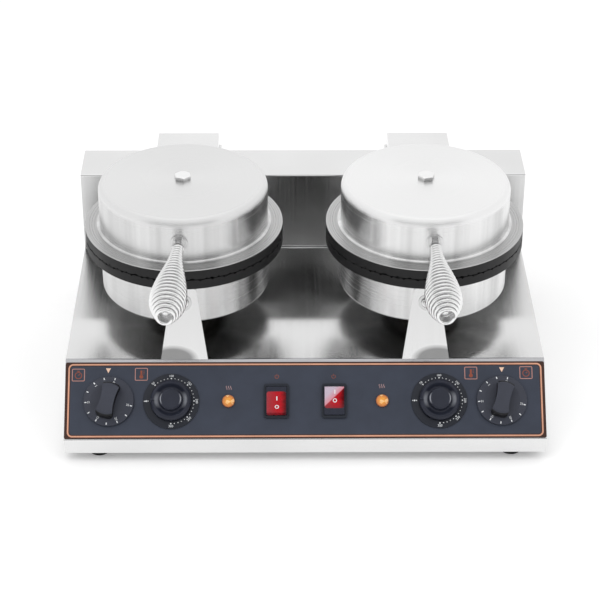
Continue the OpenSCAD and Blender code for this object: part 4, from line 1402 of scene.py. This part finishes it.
@dataclass
class Studio:
    """White floor and surround, soft lamps and the camera.

    The dark opening is a patch of directions: so far to the sides, as a share
    of the way ahead, and between two heights, each fading from one number to
    the other.
    """

    floor_size: float = 14.0
    floor_glow: float = 0.16
    opening_front: Pair = (0.0, 0.1)
    opening_side: Pair = (1.3, 0.8)
    opening_low: Pair = (0.18, 0.30)
    opening_high: Pair = (0.592, 0.51)
    ceiling: Pair = (0.75, 0.95)
    ceiling_gain: float = 0.1
    soft_level: float = 0.9
    lamps: tuple[tuple[str, Point, float, float], ...] = (
        ("key_lamp", (-1.4, -1.0, 2.4), 2.4, 18.0),
        ("fill_lamp", (1.8, -0.4, 2.0), 2.2, 10.0))
    aim: Point = (0.0, 0.0, 0.1)
    eye: Point = (-0.0211, -1.7517, 1.1666)
    pitch: float = 31.59
    yaw: float = 0.547
    roll: float = -0.148
    focal_px: float = 1921.6
    frame_px: float = 600.0
    sensor: float = 36.0

    def floor(self) -> None:
        """Lays the white floor, which keeps the machine's shadow."""
        g = Graph("studio_floor")
        g.put(Base_Color=g.blend(g.ramp(g.noise(g.place(), 3.0)), (0.93, 0.93, 0.93),
                                 (0.95, 0.95, 0.95)),
              Roughness=0.9, Specular_IOR_Level=0.0)
        path = g.node("ShaderNodeLightPath")
        seen = g.maths("MAXIMUM", path.outputs["Is Camera Ray"],
                       path.outputs["Is Glossy Ray"])
        glow = g.node("ShaderNodeEmission", {"Color": (1, 1, 1, 1),
                                             "Strength": g.times(seen, self.floor_glow)})
        total = g.node("ShaderNodeAddShader", {0: g.shader.outputs[0], 1: glow.outputs[0]})
        g.feed(g.out, "Surface", total.outputs[0])
        h = self.floor_size / 2
        floor = mesh_piece("floor", np.array([[-h, -h, 0], [h, -h, 0], [h, h, 0], [-h, h, 0]]),
                           [[0, 1, 2, 3]], g.material, False)

    def surround(self) -> None:
        """Lights from all round, white, with a dark opening behind the camera.

        Only mirror-like surfaces see the dark opening, a soft-edged patch of
        directions about the one toward the camera, and the brighter ceiling.
        """
        world = bpy.data.worlds.new("studio_surround")
        bpy.context.scene.world = world
        world.use_nodes = True
        g = Nodes(world.node_tree)
        x, y, z = g.parts(g.node("ShaderNodeTexCoord").outputs["Generated"])
        across = g.maths("ABSOLUTE", g.maths("DIVIDE", x, g.maths("ABSOLUTE", y)))
        front, wide, low, high, above = (
            g.ramp(value, *ends, interpolation_type="SMOOTHSTEP")
            for value, ends in ((g.times(y, -1.0), self.opening_front),
                                (across, self.opening_side), (z, self.opening_low),
                                (z, self.opening_high), (z, self.ceiling)))
        path = g.node("ShaderNodeLightPath")
        glossy = path.outputs["Is Glossy Ray"]
        dark = g.times(g.times(g.times(front, wide), g.times(low, high)), glossy)
        bright = g.times(g.times(above, glossy), self.ceiling_gain)
        level = g.maths("SUBTRACT", g.maths("ADD", 1.0, bright), dark)
        backdrop, soft = (g.node("ShaderNodeBackground", {"Color": (1, 1, 1, 1),
                                                          "Strength": strength})
                          for strength in (level, self.soft_level))
        direct = g.maths("MAXIMUM", path.outputs["Is Camera Ray"], glossy)
        mix = g.node("ShaderNodeMixShader", {0: direct, 1: soft.outputs[0],
                                             2: backdrop.outputs[0]})
        g.node("ShaderNodeOutputWorld", {"Surface": mix.outputs[0]})

    def lamp(self, name: str, at: Point, size: float, watts: float) -> None:
        """Hangs one square soft lamp that looks at the machine.

        Args:
            name: of the lamp.
            at: its place, in metres.
            size: its side, in metres.
            watts: its power.
        """
        light = bpy.data.lights.new(name, "AREA")
        light.size, light.energy = size, watts
        holder = bpy.data.objects.new(name, light)
        holder.visible_glossy = False
        aim = Vector(self.aim) - Vector(at)
        holder.matrix_world = (Matrix.Translation(at)
                               @ aim.to_track_quat("-Z", "Y").to_matrix().to_4x4())
        bpy.context.scene.collection.objects.link(holder)

    def camera(self) -> None:
        """Sets the camera where the machine is looked at from."""
        data = bpy.data.cameras.new("camera")
        data.sensor_width = self.sensor
        data.lens = self.focal_px * data.sensor_width / self.frame_px
        data.clip_end = 50.0
        camera = bpy.data.objects.new("camera", data)
        e, w = math.radians(self.pitch), math.radians(self.yaw)
        forward = Vector((math.sin(w) * math.cos(e), math.cos(w) * math.cos(e), -math.sin(e)))
        right = Vector((math.cos(w), -math.sin(w), 0.0))
        down = forward.cross(right)
        r = math.radians(self.roll)
        right, down = (right * math.cos(r) + down * math.sin(r),
                       down * math.cos(r) - right * math.sin(r))
        turn = Matrix((right, -down, -forward)).transposed().to_4x4()
        camera.matrix_world = Matrix.Translation(self.eye) @ turn
        bpy.context.scene.collection.objects.link(camera)
        bpy.context.scene.camera = camera

    def build(self) -> None:
        """Sets the whole studio."""
        self.camera()
        self.floor()
        self.surround()
        for lamp in self.lamps:
            self.lamp(*lamp)
        bpy.context.scene.view_settings.view_transform = "Standard"


def main() -> None:
    """Builds the studio and dresses the machine, piece by piece."""
    logging.basicConfig(level=logging.INFO, format="%(name)s: %(message)s")
    Studio().build()
    Housing().build()
    plate = CastPlate("coated_plate").make()
    sheath = SheetSteel("heater_sheath", (0.42, 0.40, 0.37), 0.4, (200.0, 200.0, 200.0)).make()
    wire = SheetSteel("plated_wire", (0.93, 0.93, 0.93), 0.2, (60.0, 60.0, 60.0)).make()
    for side in Side:
        Iron(side).build(plate, sheath)
    Grip(Side.LEFT, turn=4.4, root_x=0.8).build(wire)
    Grip(Side.RIGHT, turn=2.0, root_x=3.9).build(wire)
    ControlPanel().build()


if __name__ == "__main__":
    main()
